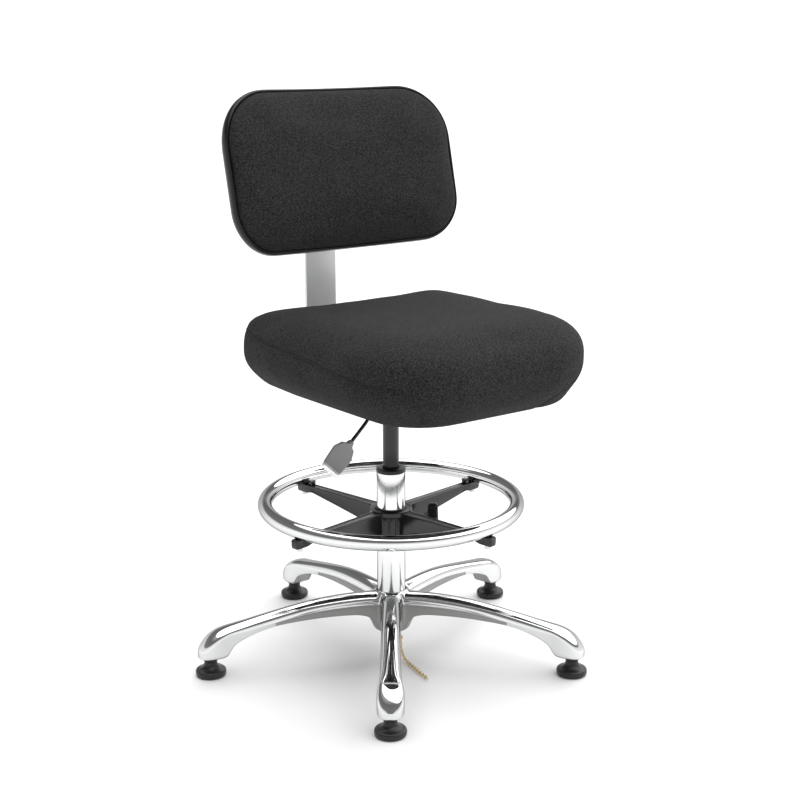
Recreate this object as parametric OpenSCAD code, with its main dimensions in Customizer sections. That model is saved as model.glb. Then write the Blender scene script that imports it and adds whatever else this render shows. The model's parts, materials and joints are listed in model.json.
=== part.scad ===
// Drafting chair: five-leg base on glides, gas column, foot ring, upholstered seat and back.
// Millimetres, +Z up. The origin is on the floor under the column and the seat faces -Y.

/* [Seat] */
// Width of the seat cushion
seat_w = 468; // [430:2:480]
// Depth of the seat cushion, front to back
seat_d = 474; // [460:2:500]
// Thickness of the seat cushion at its crown
seat_t = 132; // [120:1:140]
// Height of the seat cushion's underside above the floor
seat_z = 487; // [480:1:495]
// How far the middle of the seat sits in front of the column
seat_forward = 87; // [75:1:95]

/* [Backrest] */
// Width of the backrest over its edge trim
back_w = 460; // [400:5:480]
// Height of the backrest over its edge trim
back_h = 274; // [250:2:290]
// Radius of the backrest's upper corners
back_corner = 96; // [60:1:105]
// Radius of the backrest's lower corners
back_low_corner = 76; // [50:1:105]
// Distance of the backrest's middle behind the column
back_y = 147; // [144:1:150]
// Height of the backrest's middle above the floor
back_z = 838; // [830:1:845]
// Lean of the backrest, in degrees from upright
back_lean = 13; // [11:1:14]
// Radius that the backrest is curved to, seen from above
back_curve = 1200; // [1000:20:1600]

/* [Back bar] */
// Width of the flat steel bar
bar_w = 63.5; // [50:0.5:66]
// Thickness of the flat steel bar
bar_t = 6.35; // [5:0.05:6.35]
// Distance of the upright part's front face behind the column
bar_y = 205.2; // [200:0.1:206]
// Height of the top of the bar above the floor
bar_top = 878; // [870:1:880]

/* [Column] */
// Outer radius of the chromed column tube
sleeve_r = 25; // [25:0.5:25]
// Height of the top of the chromed tube above the floor
sleeve_top = 332; // [320:1:340]
// Outer radius of the gas spring
gas_r = 14; // [14:0.5:14]
// How far the seat can still sink from the modelled position
drop = 25; // [5:1:25]

/* [Base] */
// Distance of each glide from the column
glide_ring_r = 324; // [300:1:340]
// Direction of the first leg, in degrees from +X
base_turn = -127; // [-180:1:180]
// Radius of a glide's foot
glide_r = 26; // [22:0.5:28]
// Height of a glide, floor to leg
glide_h = 34; // [32:1:36]

/* [Foot ring] */
// Radius of the foot ring to the middle of its tube
ring_r = 217.3; // [205:0.1:225]
// Radius of the foot ring's tube
ring_tube_r = 12.7; // [11:0.1:14]
// Height of the tops of the spokes, which carry the ring
spoke_top = 265.3; // [260:0.1:270]
// Direction of the first spoke, in degrees from +X
spoke_turn = 10; // [-45:1:45]

/* [Hidden] */
$fn = 96;

// Clearance of a running fit, on the radius
run = 0.05;
// Overcut that carries a hole past the face it leaves
over = 1;

// Heights inside the column
clip_z = 50.4;
clip_t = 1.5;
column_foot = 52;
end_plate_t = 3;
race_t = 2;
ball_r = 1.6;
lower_race_z = column_foot + end_plate_t;
ball_z = lower_race_z + race_t;
upper_race_z = ball_z + 2 * ball_r;
shoulder_z = upper_race_z + race_t;
bump_top = shoulder_z + 12.8;
piston_z = 300;
piston_t = 18;

// Radii inside the column
sleeve_bore = sleeve_r - 3.5;
sleeve_foot_r = sleeve_r - 1.6;
gas_bore = gas_r - 1.5;
gas_tip_r = gas_r - 0.9;
rod_r = 5;
spigot_r = 4;
groove_r = 3.2;
pin_r = 4;
pin_collar_r = 6;

// Heights under the seat
board_t = 12;
cover_t = 1;
flange_t = 3;
flange_z = seat_z - cover_t - flange_t;
gas_top = seat_z - 18.5;
gas_head = 18;
gas_foot = bump_top + drop + 0.5;
socket_z = seat_z - 52;
socket_r = 19;
lever_z = seat_z - 10;
lever_r = 3;
pin_top = lever_z - lever_r - 0.2;

// The mechanism housing, a pressed steel box with a flange
box_x = 40;
box_y = 45;
box_wall = 2.5;
box_z = flange_z - 41;
box_floor = 3;
flange_x = 85;
flange_front = -75;
flange_back = 62;
housing_bolts = [[-70, -62], [70, -62], [-70, 50], [70, 50]];
bolt_r = 4;
tee_r = 5.2;

// The lever: fulcrum, bends of the rod, and how the paddle is turned
fulcrum_x = -25;
rod_bends = [[9, 0, lever_z], [-44, 0, lever_z], [-90, -60, lever_z - 26], [-133, -60, lever_z - 66]];
paddle_pitch = 137;
paddle_twist = 15;

// The guide that the back bar slides in, under the rear of the seat
guide_front = 66;
guide_back = 120;
guide_half = bar_w / 2 + 0.35;
guide_wall = 3.9;
guide_flange_x = 60;
guide_bolts = [[-50, 78], [50, 78], [-50, 102], [50, 102]];
bar_leg_z = flange_z - bar_t - 0.65;
bar_leg_front = 66;
bar_bend = 15;
guide_floor_z = bar_leg_z - 0.3 - flange_t;
depth_knob_y = 96;

// Layers of the backrest, front to back, from the front of its board
trim_w = 5;
trim_front = -4;
trim_back = 12;
back_board_t = 10;
shell_back = 24;
shell_wall = 3;
cushion_front = -38;
bracket_t = 3;
pivot_local = [40, -38];
pivot_y = back_y + pivot_local[0] * cos(back_lean) + pivot_local[1] * sin(back_lean);
pivot_z = back_z - pivot_local[0] * sin(back_lean) + pivot_local[1] * cos(back_lean);
pivot_r = 4;
lug_r = 8;
back_bolt_spots = [[-27, -10], [27, -10], [-27, -66], [27, -66]];

// The clamp that slides on the bar
clamp_z = 765;
clamp_h = 65;
clamp_half = 38;
clamp_front = bar_y - 5.2;
clamp_back = bar_y + bar_t + 4.5;
clamp_play = 0.3;
back_knob_z = 806;

// The foot ring's hub and knob
liner_r = sleeve_r + 2.5;
liner_z = 215;
liner_top = 269;
liner_flange_t = 3.9;
spider_z = 219;
spider_top = 267;
spider_bore = liner_r + run;
ring_knob_z = 244;
ring_knob_turn = spoke_turn - 45;

// The drag chain hangs from the hub and lies on the floor
chain_r = 3;
chain_anchor = [-5, -27];
chain_path = [
    [-6, -35, 33.6], [-6, -35.5, 28], [-6.5, -37, 21], [-7.5, -41, 13], [-9, -48, 7],
    [-11, -57, 4], [-13, -68, 3], [-16, -82, 3], [-19, -97, 3], [-22, -112, 3],
    [-24, -124, 3], [-26, -137, 3]
];

// Colours
c_black = [0.06, 0.06, 0.065];
c_fabric = [0.10, 0.10, 0.11];
c_chrome = [0.82, 0.83, 0.85];
c_steel = [0.60, 0.61, 0.63];
c_brass = [0.72, 0.56, 0.25];
c_wood = [0.76, 0.60, 0.40];

// ---------- helpers ----------

// A ring about Z, from radius a to radius b and from height z up by h
module ring(a, b, z, h) {
    translate([0, 0, z]) difference() {
        cylinder(r = b, h = h);
        translate([0, 0, -over]) cylinder(r = a, h = h + 2 * over);
    }
}

// A side view drawn in X and Z, extruded along Y to a width
module side_extrude(width) {
    rotate([90, 0, 0]) linear_extrude(height = width, center = true) children();
}

// A side view drawn in Y and Z, extruded along X to a width
module cross_extrude(width) {
    rotate([90, 0, 90]) linear_extrude(height = width, center = true) children();
}

// A straight rod between two points, with a slightly swollen ball at each end
module rod_between(a, b, r) {
    d = b - a;
    length = norm(d);
    translate(a) {
        rotate([0, acos(d[2] / length), atan2(d[1], d[0])]) cylinder(r = r, h = length);
        sphere(r = r * 1.04);
    }
    translate(b) sphere(r = r * 1.04);
}

// A clamp knob with lobes, its axis along +Z and its base at z = 0
module lobed_knob(r, thick, lobes) {
    linear_extrude(height = thick) {
        circle(r = r * 0.74);
        for (i = [0 : lobes - 1])
            rotate([0, 0, 360 * i / lobes]) translate([r * 0.72, 0]) circle(r = r * 0.28);
    }
}

// Places something on each of the five legs
module on_leg(i) {
    rotate([0, 0, base_turn + 72 * i]) children();
}

// ---------- base ----------

// Side view of a leg: its top curve out to the toe, then its underside back to the hub
module leg_side() {
    toe = glide_ring_r + 21;
    polygon([
        [0, 115], [60, 117], [110, 116.5], [150, 112.5], [200, 104], [248, 94.5],
        [glide_ring_r - 29, 84.5], [glide_ring_r - 5, 77], [glide_ring_r + 9, 66],
        [glide_ring_r + 17, 54], [toe, 43], [toe, glide_h],
        [glide_ring_r - 28, glide_h], [glide_ring_r - 34, 50], [glide_ring_r - 48, 59.5],
        [252, 70], [216, 79.5], [155, 83], [60, 80], [40, 70], [0, 56]
    ]);
}

// Plan view of a leg, thinner by inset on each side
module leg_plan(inset = 0) {
    root = 19 - inset;
    waist = 16.5 - inset;
    polygon([
        [0, -root - 2], [60, -root], [200, -waist], [glide_ring_r - 38, -waist - 1],
        [glide_ring_r, -22 + inset], [glide_ring_r, 22 - inset],
        [glide_ring_r - 38, waist + 1], [200, waist], [60, root], [0, root + 2]
    ]);
    translate([glide_ring_r, 0]) circle(r = 22 - inset);
}

// The hollow under a leg, open downwards
module leg_hollow() {
    intersection() {
        side_extrude(60) polygon([
            [44, 30], [44, 111], [110, 111.5], [150, 107.5], [200, 99],
            [248, 89.5], [286, 80], [286, 30]
        ]);
        linear_extrude(height = 130) leg_plan(4.5);
    }
}

module base_casting() {
    color(c_chrome) difference() {
        union() {
            translate([0, 0, 40]) cylinder(r = 30, h = 72);
            translate([0, 0, 112]) cylinder(r = 27.5, h = 6);
            for (i = [0 : 4]) on_leg(i) intersection() {
                side_extrude(60) leg_side();
                linear_extrude(height = 130) leg_plan();
            }
        }
        for (i = [0 : 4]) on_leg(i) {
            leg_hollow();
            translate([glide_ring_r, 0, glide_h - over]) cylinder(r = 5.5, h = 29 + over);
        }
        translate([0, 0, column_foot])
            cylinder(r1 = sleeve_foot_r, r2 = sleeve_r, h = 118 - column_foot);
        translate([0, 0, 117.9]) cylinder(r = sleeve_r, h = 5);
        translate([0, 0, 30]) cylinder(r = sleeve_foot_r, h = column_foot - 30);
        translate([chain_anchor[0], chain_anchor[1], 30]) cylinder(r = 1.5, h = 22);
    }
}

module glide(i) {
    color(c_black) on_leg(i) translate([glide_ring_r, 0, 0]) rotate_extrude() polygon([
        [0, 0], [glide_r - 3, 0], [glide_r, 3], [glide_r, 9], [glide_r - 2, 12],
        [14, 17], [10.5, 24], [9.5, 29], [9.5, glide_h], [5.5, glide_h], [5.5, 14], [0, 14]
    ]);
}

module glide_stems() {
    color(c_steel) for (i = [0 : 4])
        on_leg(i) translate([glide_ring_r, 0, 14]) cylinder(r = 5.5, h = 48);
}

module column_sleeve() {
    color(c_chrome) rotate_extrude() polygon([
        [sleeve_bore, column_foot], [sleeve_foot_r, column_foot], [sleeve_r, 118],
        [sleeve_r, sleeve_top], [sleeve_bore, sleeve_top]
    ]);
}

module column_end_plate() {
    color(c_steel) ring(spigot_r + run, sleeve_bore, column_foot, end_plate_t);
}

module column_bush() {
    color(c_black) rotate_extrude() polygon([
        [gas_r + run, sleeve_top - 80], [sleeve_bore, sleeve_top - 80], [sleeve_bore, sleeve_top],
        [sleeve_r, sleeve_top], [sleeve_r, sleeve_top + 6.5], [sleeve_r - 1, sleeve_top + 7.5],
        [gas_r + run, sleeve_top + 7.5]
    ]);
}

module lower_race() {
    color(c_steel) ring(spigot_r + run, 11, lower_race_z, race_t);
}

module chain_screw() {
    color(c_steel) translate([chain_anchor[0], chain_anchor[1], 0]) {
        translate([0, 0, 36]) cylinder(r = 3.2, h = 3);
        translate([0, 0, 39]) cylinder(r = 1.5, h = 12);
    }
}

// A flat tag under the screw, with a turned-down tab that holds the first link
module chain_eyelet() {
    color(c_brass) difference() {
        union() {
            translate([chain_anchor[0], chain_anchor[1], 39]) cylinder(r = 4, h = 1);
            translate([chain_anchor[0] - 2.5, chain_anchor[1] - 8, 39]) cube([5, 8, 1]);
            translate([chain_anchor[0] - 2.5, chain_anchor[1] - 9, 34]) cube([5, 1, 6]);
        }
        translate([chain_anchor[0], chain_anchor[1], 38]) cylinder(r = 1.5, h = 3);
    }
}

// Direction of the chain at point i, and the level and upright directions across it
function chain_next(i) = chain_path[min(i + 1, len(chain_path) - 1)];
function chain_last(i) = chain_path[max(i - 1, 0)];
function chain_dir(i) = (chain_next(i) - chain_last(i)) / norm(chain_next(i) - chain_last(i));
chain_side = [0.98, -0.199, 0];
chain_sides = 8;
function chain_ring(i) = [
    for (k = [0 : chain_sides - 1])
        let (a = 360 * k / chain_sides)
        chain_path[i] + chain_r * (cos(a) * chain_side + sin(a) * cross(chain_side, chain_dir(i)))
];

module drag_chain() {
    n = len(chain_path);
    points = [for (i = [0 : n - 1]) each chain_ring(i)];
    walls = [
        for (i = [0 : n - 2], k = [0 : chain_sides - 1])
            let (a = i * chain_sides + k, b = i * chain_sides + (k + 1) % chain_sides)
            [b, a, a + chain_sides, b + chain_sides]
    ];
    start = [for (k = [0 : chain_sides - 1]) k];
    finish = [for (k = [chain_sides - 1 : -1 : 0]) (n - 1) * chain_sides + k];
    color(c_brass) polyhedron(points = points, faces = concat([start, finish], walls));
}

// ---------- piston, which turns on the thrust bearing ----------

module piston_rod() {
    color(c_steel) rotate_extrude() polygon([
        [0, 46], [spigot_r, 46], [spigot_r, clip_z], [groove_r, clip_z],
        [groove_r, clip_z + clip_t], [spigot_r, clip_z + clip_t], [spigot_r, shoulder_z],
        [rod_r, shoulder_z], [rod_r, piston_z], [0, piston_z]
    ]);
}

module piston_head() {
    color(c_steel) translate([0, 0, piston_z]) cylinder(r = gas_bore - run, h = piston_t);
}

module bump_stop() {
    color(c_black) ring(rod_r, 12, shoulder_z, bump_top - shoulder_z);
}

module thrust_balls() {
    color(c_steel) for (i = [0 : 9])
        rotate([0, 0, 36 * i]) translate([7.8, 0, ball_z + ball_r]) sphere(r = ball_r, $fn = 32);
}

module upper_race() {
    color(c_steel) ring(spigot_r, 11, upper_race_z, race_t);
}

module rod_clip() {
    color(c_steel) ring(groove_r, 9, clip_z, clip_t);
}

// ---------- seat and mechanism ----------

module gas_cylinder() {
    color(c_black) rotate_extrude() polygon([
        [gas_bore, gas_foot], [gas_r, gas_foot], [gas_r, socket_z], [gas_tip_r, gas_top],
        [pin_r + run, gas_top], [pin_r + run, gas_top - gas_head],
        [gas_bore, gas_top - gas_head]
    ]);
}

module cylinder_gland() {
    color(c_steel) ring(rod_r + run, gas_bore, gas_foot, 17);
}

module release_pin() {
    color(c_steel) {
        shaft_z = gas_top - gas_head - 0.3;
        translate([0, 0, shaft_z]) cylinder(r = pin_r, h = pin_top - shaft_z);
        translate([0, 0, shaft_z - 6.5]) cylinder(r = pin_collar_r, h = 6.5);
    }
}

module taper_socket() {
    color(c_black) rotate_extrude() polygon([
        [gas_r, socket_z], [socket_r, socket_z], [socket_r, gas_top], [gas_tip_r, gas_top]
    ]);
}

module mechanism_housing() {
    color(c_black) difference() {
        union() {
            translate([-flange_x, flange_front, flange_z])
                cube([2 * flange_x, flange_back - flange_front, flange_t]);
            translate([-box_x, -box_y, box_z]) cube([2 * box_x, 2 * box_y, flange_z - box_z]);
        }
        translate([-box_x + box_wall, -box_y + box_wall, box_z + box_floor])
            cube([2 * (box_x - box_wall), 2 * (box_y - box_wall), flange_z - box_z - box_floor]);
        translate([0, 0, box_z - over]) cylinder(r = socket_r, h = box_floor + 2 * over);
        translate([-box_x - over, -5, lever_z - 8]) cube([box_wall + 2 * over, 10, 13.9]);
        translate([fulcrum_x, 0, lever_z]) rotate([90, 0, 0])
            cylinder(r = lever_r, h = 2 * box_y + 2, center = true);
        for (p = housing_bolts)
            translate([p[0], p[1], flange_z - over]) cylinder(r = bolt_r, h = flange_t + 2 * over);
    }
}

module lever_pin() {
    color(c_steel) translate([fulcrum_x, 0, lever_z]) rotate([90, 0, 0])
        cylinder(r = lever_r, h = 2 * box_y + 4, center = true);
}

module lever_rod() {
    color(c_black) difference() {
        union() {
            for (i = [0 : 2]) rod_between(rod_bends[i], rod_bends[i + 1], lever_r);
            translate([fulcrum_x, 0, lever_z]) rotate([90, 0, 0])
                cylinder(r = 5.5, h = 14, center = true);
        }
        translate([fulcrum_x, 0, lever_z]) rotate([90, 0, 0])
            cylinder(r = lever_r + run, h = 16, center = true);
    }
}

// A flat finger paddle with a thick neck round the end of the rod and a lip at its far end
module lever_paddle() {
    color(c_steel) difference() {
        translate(rod_bends[3]) rotate([0, paddle_pitch, 0]) rotate([paddle_twist, 0, 0]) {
            side_extrude(4) polygon([
                [-4, -9], [4, -16], [16, -20], [44, -20], [50, -14],
                [50, 14], [44, 20], [16, 20], [4, 16], [-4, 9]
            ]);
            translate([47, 0, 0]) side_extrude(8) square([6, 26], center = true);
            translate([-12, 0, 0]) rotate([0, 90, 0]) cylinder(r = 5.5, h = 26);
        }
        rod_between(rod_bends[2], rod_bends[3], lever_r);
    }
}

// Plan view of the seat: half its width in front, how much narrower it is behind, its front
// and rear edges, and the radii of its front and rear corners
module seat_plan(half, taper, front, back, front_r, back_r) {
    translate([0, -seat_forward]) hull() {
        for (s = [-1, 1]) {
            translate([s * (half - front_r), front + front_r]) circle(r = front_r, $fn = 64);
            translate([s * (half - taper - back_r), back - back_r]) circle(r = back_r, $fn = 32);
        }
    }
}

// The seat's widest outline, drawn in by inset all round
module seat_outline(inset) {
    seat_plan(seat_w / 2 - inset, 14, -seat_d / 2 + inset, seat_d / 2 - inset,
              150 - inset * 0.6, 36 - inset * 0.25);
}

// Plywood panel: narrower behind, with cut corners, inside the cushion's lower edge
module board_outline(inset) {
    half = seat_w / 2 - 20 - inset;
    rear_half = half - 14;
    front = -seat_d / 2 + 10 + inset - seat_forward;
    back = seat_d / 2 + 12 - inset - seat_forward;
    polygon([
        [-half + 60, front], [half - 60, front], [half - 20, front + 20], [half, front + 60],
        [rear_half, back - 40], [rear_half - 40, back], [-rear_half + 40, back],
        [-rear_half, back - 40], [-half, front + 60], [-half + 20, front + 20]
    ]);
}

module seat_board() {
    color(c_wood) difference() {
        translate([0, 0, seat_z]) linear_extrude(height = board_t) board_outline(46);
        for (p = concat(housing_bolts, guide_bolts))
            translate([p[0], p[1], seat_z - over]) cylinder(r = tee_r, h = board_t + 2 * over);
    }
}

// Foam and cover as one closed form, open underneath where the board fits
module seat_cushion() {
    color(c_fabric) difference() {
        hull() {
            translate([0, 0, seat_z]) linear_extrude(height = 1)
                seat_plan(seat_w / 2 - 58, 14, -seat_d / 2 + 46, seat_d / 2 - 16, 84, 34);
            translate([0, 0, seat_z + 12]) linear_extrude(height = 1)
                seat_plan(seat_w / 2 - 44, 14, -seat_d / 2 + 33, seat_d / 2 - 9, 104, 35);
            translate([0, 0, seat_z + 30]) linear_extrude(height = 1)
                seat_plan(seat_w / 2 - 24, 14, -seat_d / 2 + 15, seat_d / 2 - 4, 126, 36);
            translate([0, 0, seat_z + 48]) linear_extrude(height = 1)
                seat_plan(seat_w / 2 - 8, 14, -seat_d / 2 + 5, seat_d / 2 - 2, 142, 36);
            translate([0, 0, seat_z + 62]) linear_extrude(height = 34) seat_outline(0);
            translate([0, 0, seat_z + seat_t - 24]) linear_extrude(height = 1) seat_outline(9);
            translate([0, 0, seat_z + seat_t - 8]) linear_extrude(height = 1) seat_outline(28);
            translate([0, 0, seat_z + seat_t - 1]) linear_extrude(height = 1) seat_outline(56);
        }
        translate([0, 0, seat_z - over]) linear_extrude(height = board_t + 2 + over) board_outline(45);
    }
}

// Thin woven cover stapled over the underside of the board
module seat_dust_cover() {
    color(c_black) difference() {
        translate([0, 0, seat_z - cover_t]) linear_extrude(height = cover_t) board_outline(49);
        for (p = concat(housing_bolts, guide_bolts))
            translate([p[0], p[1], seat_z - 2]) cylinder(r = bolt_r, h = 3);
    }
}

module seat_bolts() {
    color(c_steel) for (p = concat(housing_bolts, guide_bolts)) translate([p[0], p[1], 0]) {
        translate([0, 0, flange_z - 5.5]) cylinder(r = 7.5, h = 5.5, $fn = 6);
        translate([0, 0, flange_z]) cylinder(r = bolt_r, h = flange_t + cover_t + board_t);
    }
}

module seat_tee_nuts() {
    color(c_steel) for (p = concat(housing_bolts, guide_bolts)) translate([p[0], p[1], 0]) {
        ring(bolt_r, tee_r, seat_z, board_t);
        ring(bolt_r, 10, seat_z + board_t, 1.5);
    }
}

// ---------- back bar and its guide ----------

module bar_guide() {
    color(c_black) difference() {
        union() {
            translate([-guide_flange_x, guide_front, flange_z])
                cube([2 * guide_flange_x, guide_back - guide_front, flange_t]);
            translate([-guide_half - guide_wall, guide_front, guide_floor_z])
                cube([2 * (guide_half + guide_wall), guide_back - guide_front, flange_z - guide_floor_z]);
        }
        translate([-guide_half, guide_front - over, guide_floor_z + flange_t])
            cube([2 * guide_half, guide_back - guide_front + 2 * over,
                  flange_z - guide_floor_z - flange_t]);
        translate([0, depth_knob_y, guide_floor_z - over])
            cylinder(r = bolt_r + run, h = flange_t + 2 * over);
        for (p = guide_bolts)
            translate([p[0], p[1], flange_z - over]) cylinder(r = bolt_r, h = flange_t + 2 * over);
    }
}

module depth_screw() {
    color(c_steel) translate([0, depth_knob_y, bar_leg_z - 20])
        cylinder(r = bolt_r, h = 19.8);
}

module depth_knob() {
    color(c_black) difference() {
        translate([0, depth_knob_y, bar_leg_z - 34]) lobed_knob(22, 20, 5);
        translate([0, depth_knob_y, bar_leg_z - 20]) cylinder(r = bolt_r, h = 20);
    }
}

// Flat bar bent like a J: a level leg under the seat and an upright behind it
module back_bar() {
    bend_y = bar_y - bar_bend;
    bend_z = bar_leg_z + bar_t + bar_bend;
    color(c_chrome) cross_extrude(bar_w) {
        translate([bar_leg_front, bar_leg_z]) square([bend_y - bar_leg_front, bar_t]);
        translate([bar_y, bend_z]) square([bar_t, bar_top - bend_z]);
        intersection() {
            translate([bend_y, bend_z]) difference() {
                circle(r = bar_bend + bar_t);
                circle(r = bar_bend);
            }
            translate([bend_y, bar_leg_z]) square([bar_bend + bar_t, bar_bend + bar_t]);
        }
    }
}

module bar_clamp() {
    color(c_black) difference() {
        union() {
            translate([-clamp_half, clamp_front, clamp_z])
                cube([2 * clamp_half, clamp_back - clamp_front, clamp_h]);
            for (s = [-22, 22]) translate([s, 0, 0]) {
                translate([-2, pivot_y, pivot_z - lug_r])
                    cube([4, clamp_front - pivot_y + 0.5, 2 * lug_r]);
                translate([0, pivot_y, pivot_z]) rotate([0, 90, 0])
                    cylinder(r = lug_r, h = 4, center = true);
            }
        }
        translate([-bar_w / 2 - clamp_play, bar_y - clamp_play, clamp_z - over])
            cube([bar_w + 2 * clamp_play, bar_t + 2 * clamp_play, clamp_h + 2 * over]);
        translate([0, pivot_y, pivot_z]) rotate([0, 90, 0])
            cylinder(r = pivot_r, h = 60, center = true);
        translate([0, bar_y + bar_t, back_knob_z]) rotate([-90, 0, 0])
            cylinder(r = bolt_r + run, h = 20);
    }
}

module back_pivot_pin() {
    color(c_steel) translate([0, pivot_y, pivot_z]) rotate([0, 90, 0])
        cylinder(r = pivot_r, h = 52, center = true);
}

module pivot_clips() {
    color(c_steel) for (s = [-24.7, 24.7]) translate([s, pivot_y, pivot_z]) rotate([0, 90, 0])
        difference() {
            cylinder(r = 7, h = 1, center = true);
            cylinder(r = pivot_r, h = 3, center = true);
        }
}

module back_screw() {
    color(c_steel) translate([0, bar_y + bar_t + 0.2, back_knob_z]) rotate([-90, 0, 0])
        cylinder(r = bolt_r, h = 22);
}

module back_knob() {
    color(c_black) difference() {
        translate([0, clamp_back + 4, back_knob_z]) rotate([-90, 0, 0]) lobed_knob(22, 22, 5);
        translate([0, bar_y + bar_t, back_knob_z]) rotate([-90, 0, 0])
            cylinder(r = bolt_r, h = 22.2);
    }
}

// ---------- backrest, modelled in a frame that leans with it ----------

module in_back() {
    translate([0, back_y, back_z]) rotate([-back_lean, 0, 0]) children();
}

// The backrest seen from the front, drawn in by inset: wide upper corners and tighter lower ones
module back_outline(inset) {
    w = back_w / 2 - inset;
    h = back_h / 2 - inset;
    top = back_corner - inset;
    low = back_low_corner - inset;
    polygon([
        [-w + low, -h], [w - low, -h], [w, -h + low], [w, h - top],
        [w - top, h], [-w + top, h], [-w, h - top], [-w, -h + low]
    ]);
    for (s = [-1, 1]) {
        translate([s * (w - top), h - top]) circle(r = top);
        translate([s * (w - low), -h + low]) circle(r = low);
    }
}

// The same outline extruded through all its layers
module back_prism(inset) {
    rotate([90, 0, 0]) linear_extrude(height = 160, center = true) back_outline(inset);
}

// A curved layer from depth a to depth b, hollow towards the sitter
module back_layer(a, b) {
    translate([0, -back_curve, -back_h / 2 - over]) difference() {
        cylinder(r = back_curve + b, h = back_h + 2 * over, $fn = 720);
        translate([0, 0, -over]) cylinder(r = back_curve + a, h = back_h + 4 * over, $fn = 720);
    }
}

module back_board() {
    color(c_wood) in_back() difference() {
        intersection() {
            back_prism(trim_w);
            back_layer(0, back_board_t);
        }
        for (p = back_bolt_spots) translate([p[0], -5, p[1]]) rotate([-90, 0, 0])
            cylinder(r = 3, h = 20);
    }
}

// Foam and cover: flat in front, stepped in at its front edge, its back shaped to the board
module back_cushion() {
    color(c_fabric) in_back() intersection() {
        union() {
            back_prism_from(trim_w + 0.3, -26, 6);
            back_prism_from(20, cushion_front, -25);
        }
        back_layer(-80, 0);
    }
}

// The backrest's outline, drawn in by inset, from depth a to depth b
module back_prism_from(inset, a, b) {
    translate([0, b, 0]) rotate([90, 0, 0]) linear_extrude(height = b - a) back_outline(inset);
}

module back_trim() {
    color(c_black) in_back() intersection() {
        difference() {
            back_prism(0);
            back_prism(trim_w);
        }
        back_layer(trim_front, trim_back);
    }
}

module back_shell() {
    color(c_black) in_back() difference() {
        intersection() {
            back_prism(trim_w);
            back_layer(back_board_t, shell_back);
        }
        difference() {
            intersection() {
                back_prism(trim_w + shell_wall);
                back_layer(back_board_t - over, shell_back - shell_wall);
            }
            for (p = back_bolt_spots) translate([p[0], 0, p[1]]) rotate([-90, 0, 0])
                cylinder(r = 6, h = 40);
        }
        for (p = back_bolt_spots) translate([p[0], 0, p[1]]) rotate([-90, 0, 0])
            cylinder(r = 3, h = 40);
    }
}

module back_bracket() {
    color(c_black) in_back() difference() {
        union() {
            translate([-35, shell_back, -76]) cube([70, bracket_t, 76]);
            for (s = [-16.5, 16.5]) translate([s, 0, pivot_local[1]]) {
                translate([-2.5, shell_back, -lug_r])
                    cube([5, pivot_local[0] - shell_back, 2 * lug_r]);
                translate([0, pivot_local[0], 0]) rotate([0, 90, 0])
                    cylinder(r = lug_r, h = 5, center = true);
            }
        }
        translate([0, pivot_local[0], pivot_local[1]]) rotate([0, 90, 0])
            cylinder(r = pivot_r + run, h = 60, center = true);
        for (p = back_bolt_spots) translate([p[0], shell_back - over, p[1]]) rotate([-90, 0, 0])
            cylinder(r = 3, h = bracket_t + 2 * over);
    }
}

module back_bolts() {
    color(c_steel) in_back() for (p = back_bolt_spots) translate([p[0], 0, p[1]]) rotate([-90, 0, 0]) {
        translate([0, 0, 1]) cylinder(r = 3, h = shell_back + bracket_t - 1);
        translate([0, 0, shell_back + bracket_t]) cylinder(r = 4.5, h = 3.5);
    }
}

// ---------- foot ring ----------

module ring_liner() {
    color(c_black) rotate_extrude() polygon([
        [sleeve_r + run, liner_z], [liner_r + 3.5, liner_z],
        [liner_r + 3.5, liner_z + liner_flange_t], [liner_r, liner_z + liner_flange_t],
        [liner_r, liner_top], [sleeve_r + run, liner_top]
    ]);
}

// One spoke, deep at the hub and shallow at the ring, along +X
module spoke() {
    intersection() {
        side_extrude(40) polygon([
            [30, 222], [60, 231], [ring_r - 20, spoke_top - 12], [ring_r - 12, spoke_top - 15.3],
            [ring_r + 12, spoke_top - 15.3], [ring_r + 12, spoke_top], [30, spoke_top]
        ]);
        linear_extrude(height = 300) polygon([
            [30, -11], [ring_r - 20, -7.5], [ring_r + 12, -8],
            [ring_r + 12, 8], [ring_r - 20, 7.5], [30, 11]
        ]);
    }
}

module ring_spider() {
    color(c_black) difference() {
        union() {
            rotate_extrude() polygon([
                [spider_bore, spider_z], [liner_r + 6.5, spider_z], [liner_r + 6.5, 256],
                [liner_r + 9.5, 260], [liner_r + 9.5, spider_top], [spider_bore, spider_top]
            ]);
            for (i = [0 : 3]) rotate([0, 0, spoke_turn + 90 * i]) spoke();
            rotate([0, 0, ring_knob_turn]) translate([29, 0, ring_knob_z]) rotate([0, 90, 0])
                cylinder(r = 9, h = 17);
        }
        translate([0, 0, 200]) cylinder(r = spider_bore, h = 100);
        rotate([0, 0, ring_knob_turn]) translate([20, 0, ring_knob_z]) rotate([0, 90, 0])
            cylinder(r = bolt_r + run, h = 40);
        for (i = [0 : 3]) rotate([0, 0, spoke_turn + 90 * i])
            translate([ring_r, 0, 240]) cylinder(r = 3, h = 40);
    }
}

module foot_ring() {
    color(c_chrome) difference() {
        translate([0, 0, spoke_top + ring_tube_r]) rotate_extrude($fn = 192)
            translate([ring_r, 0]) difference() {
                circle(r = ring_tube_r, $fn = 64);
                circle(r = ring_tube_r - 1.5, $fn = 64);
            }
        for (i = [0 : 3]) rotate([0, 0, spoke_turn + 90 * i])
            translate([ring_r, 0, spoke_top - 5]) cylinder(r = 3, h = 10);
    }
}

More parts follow.
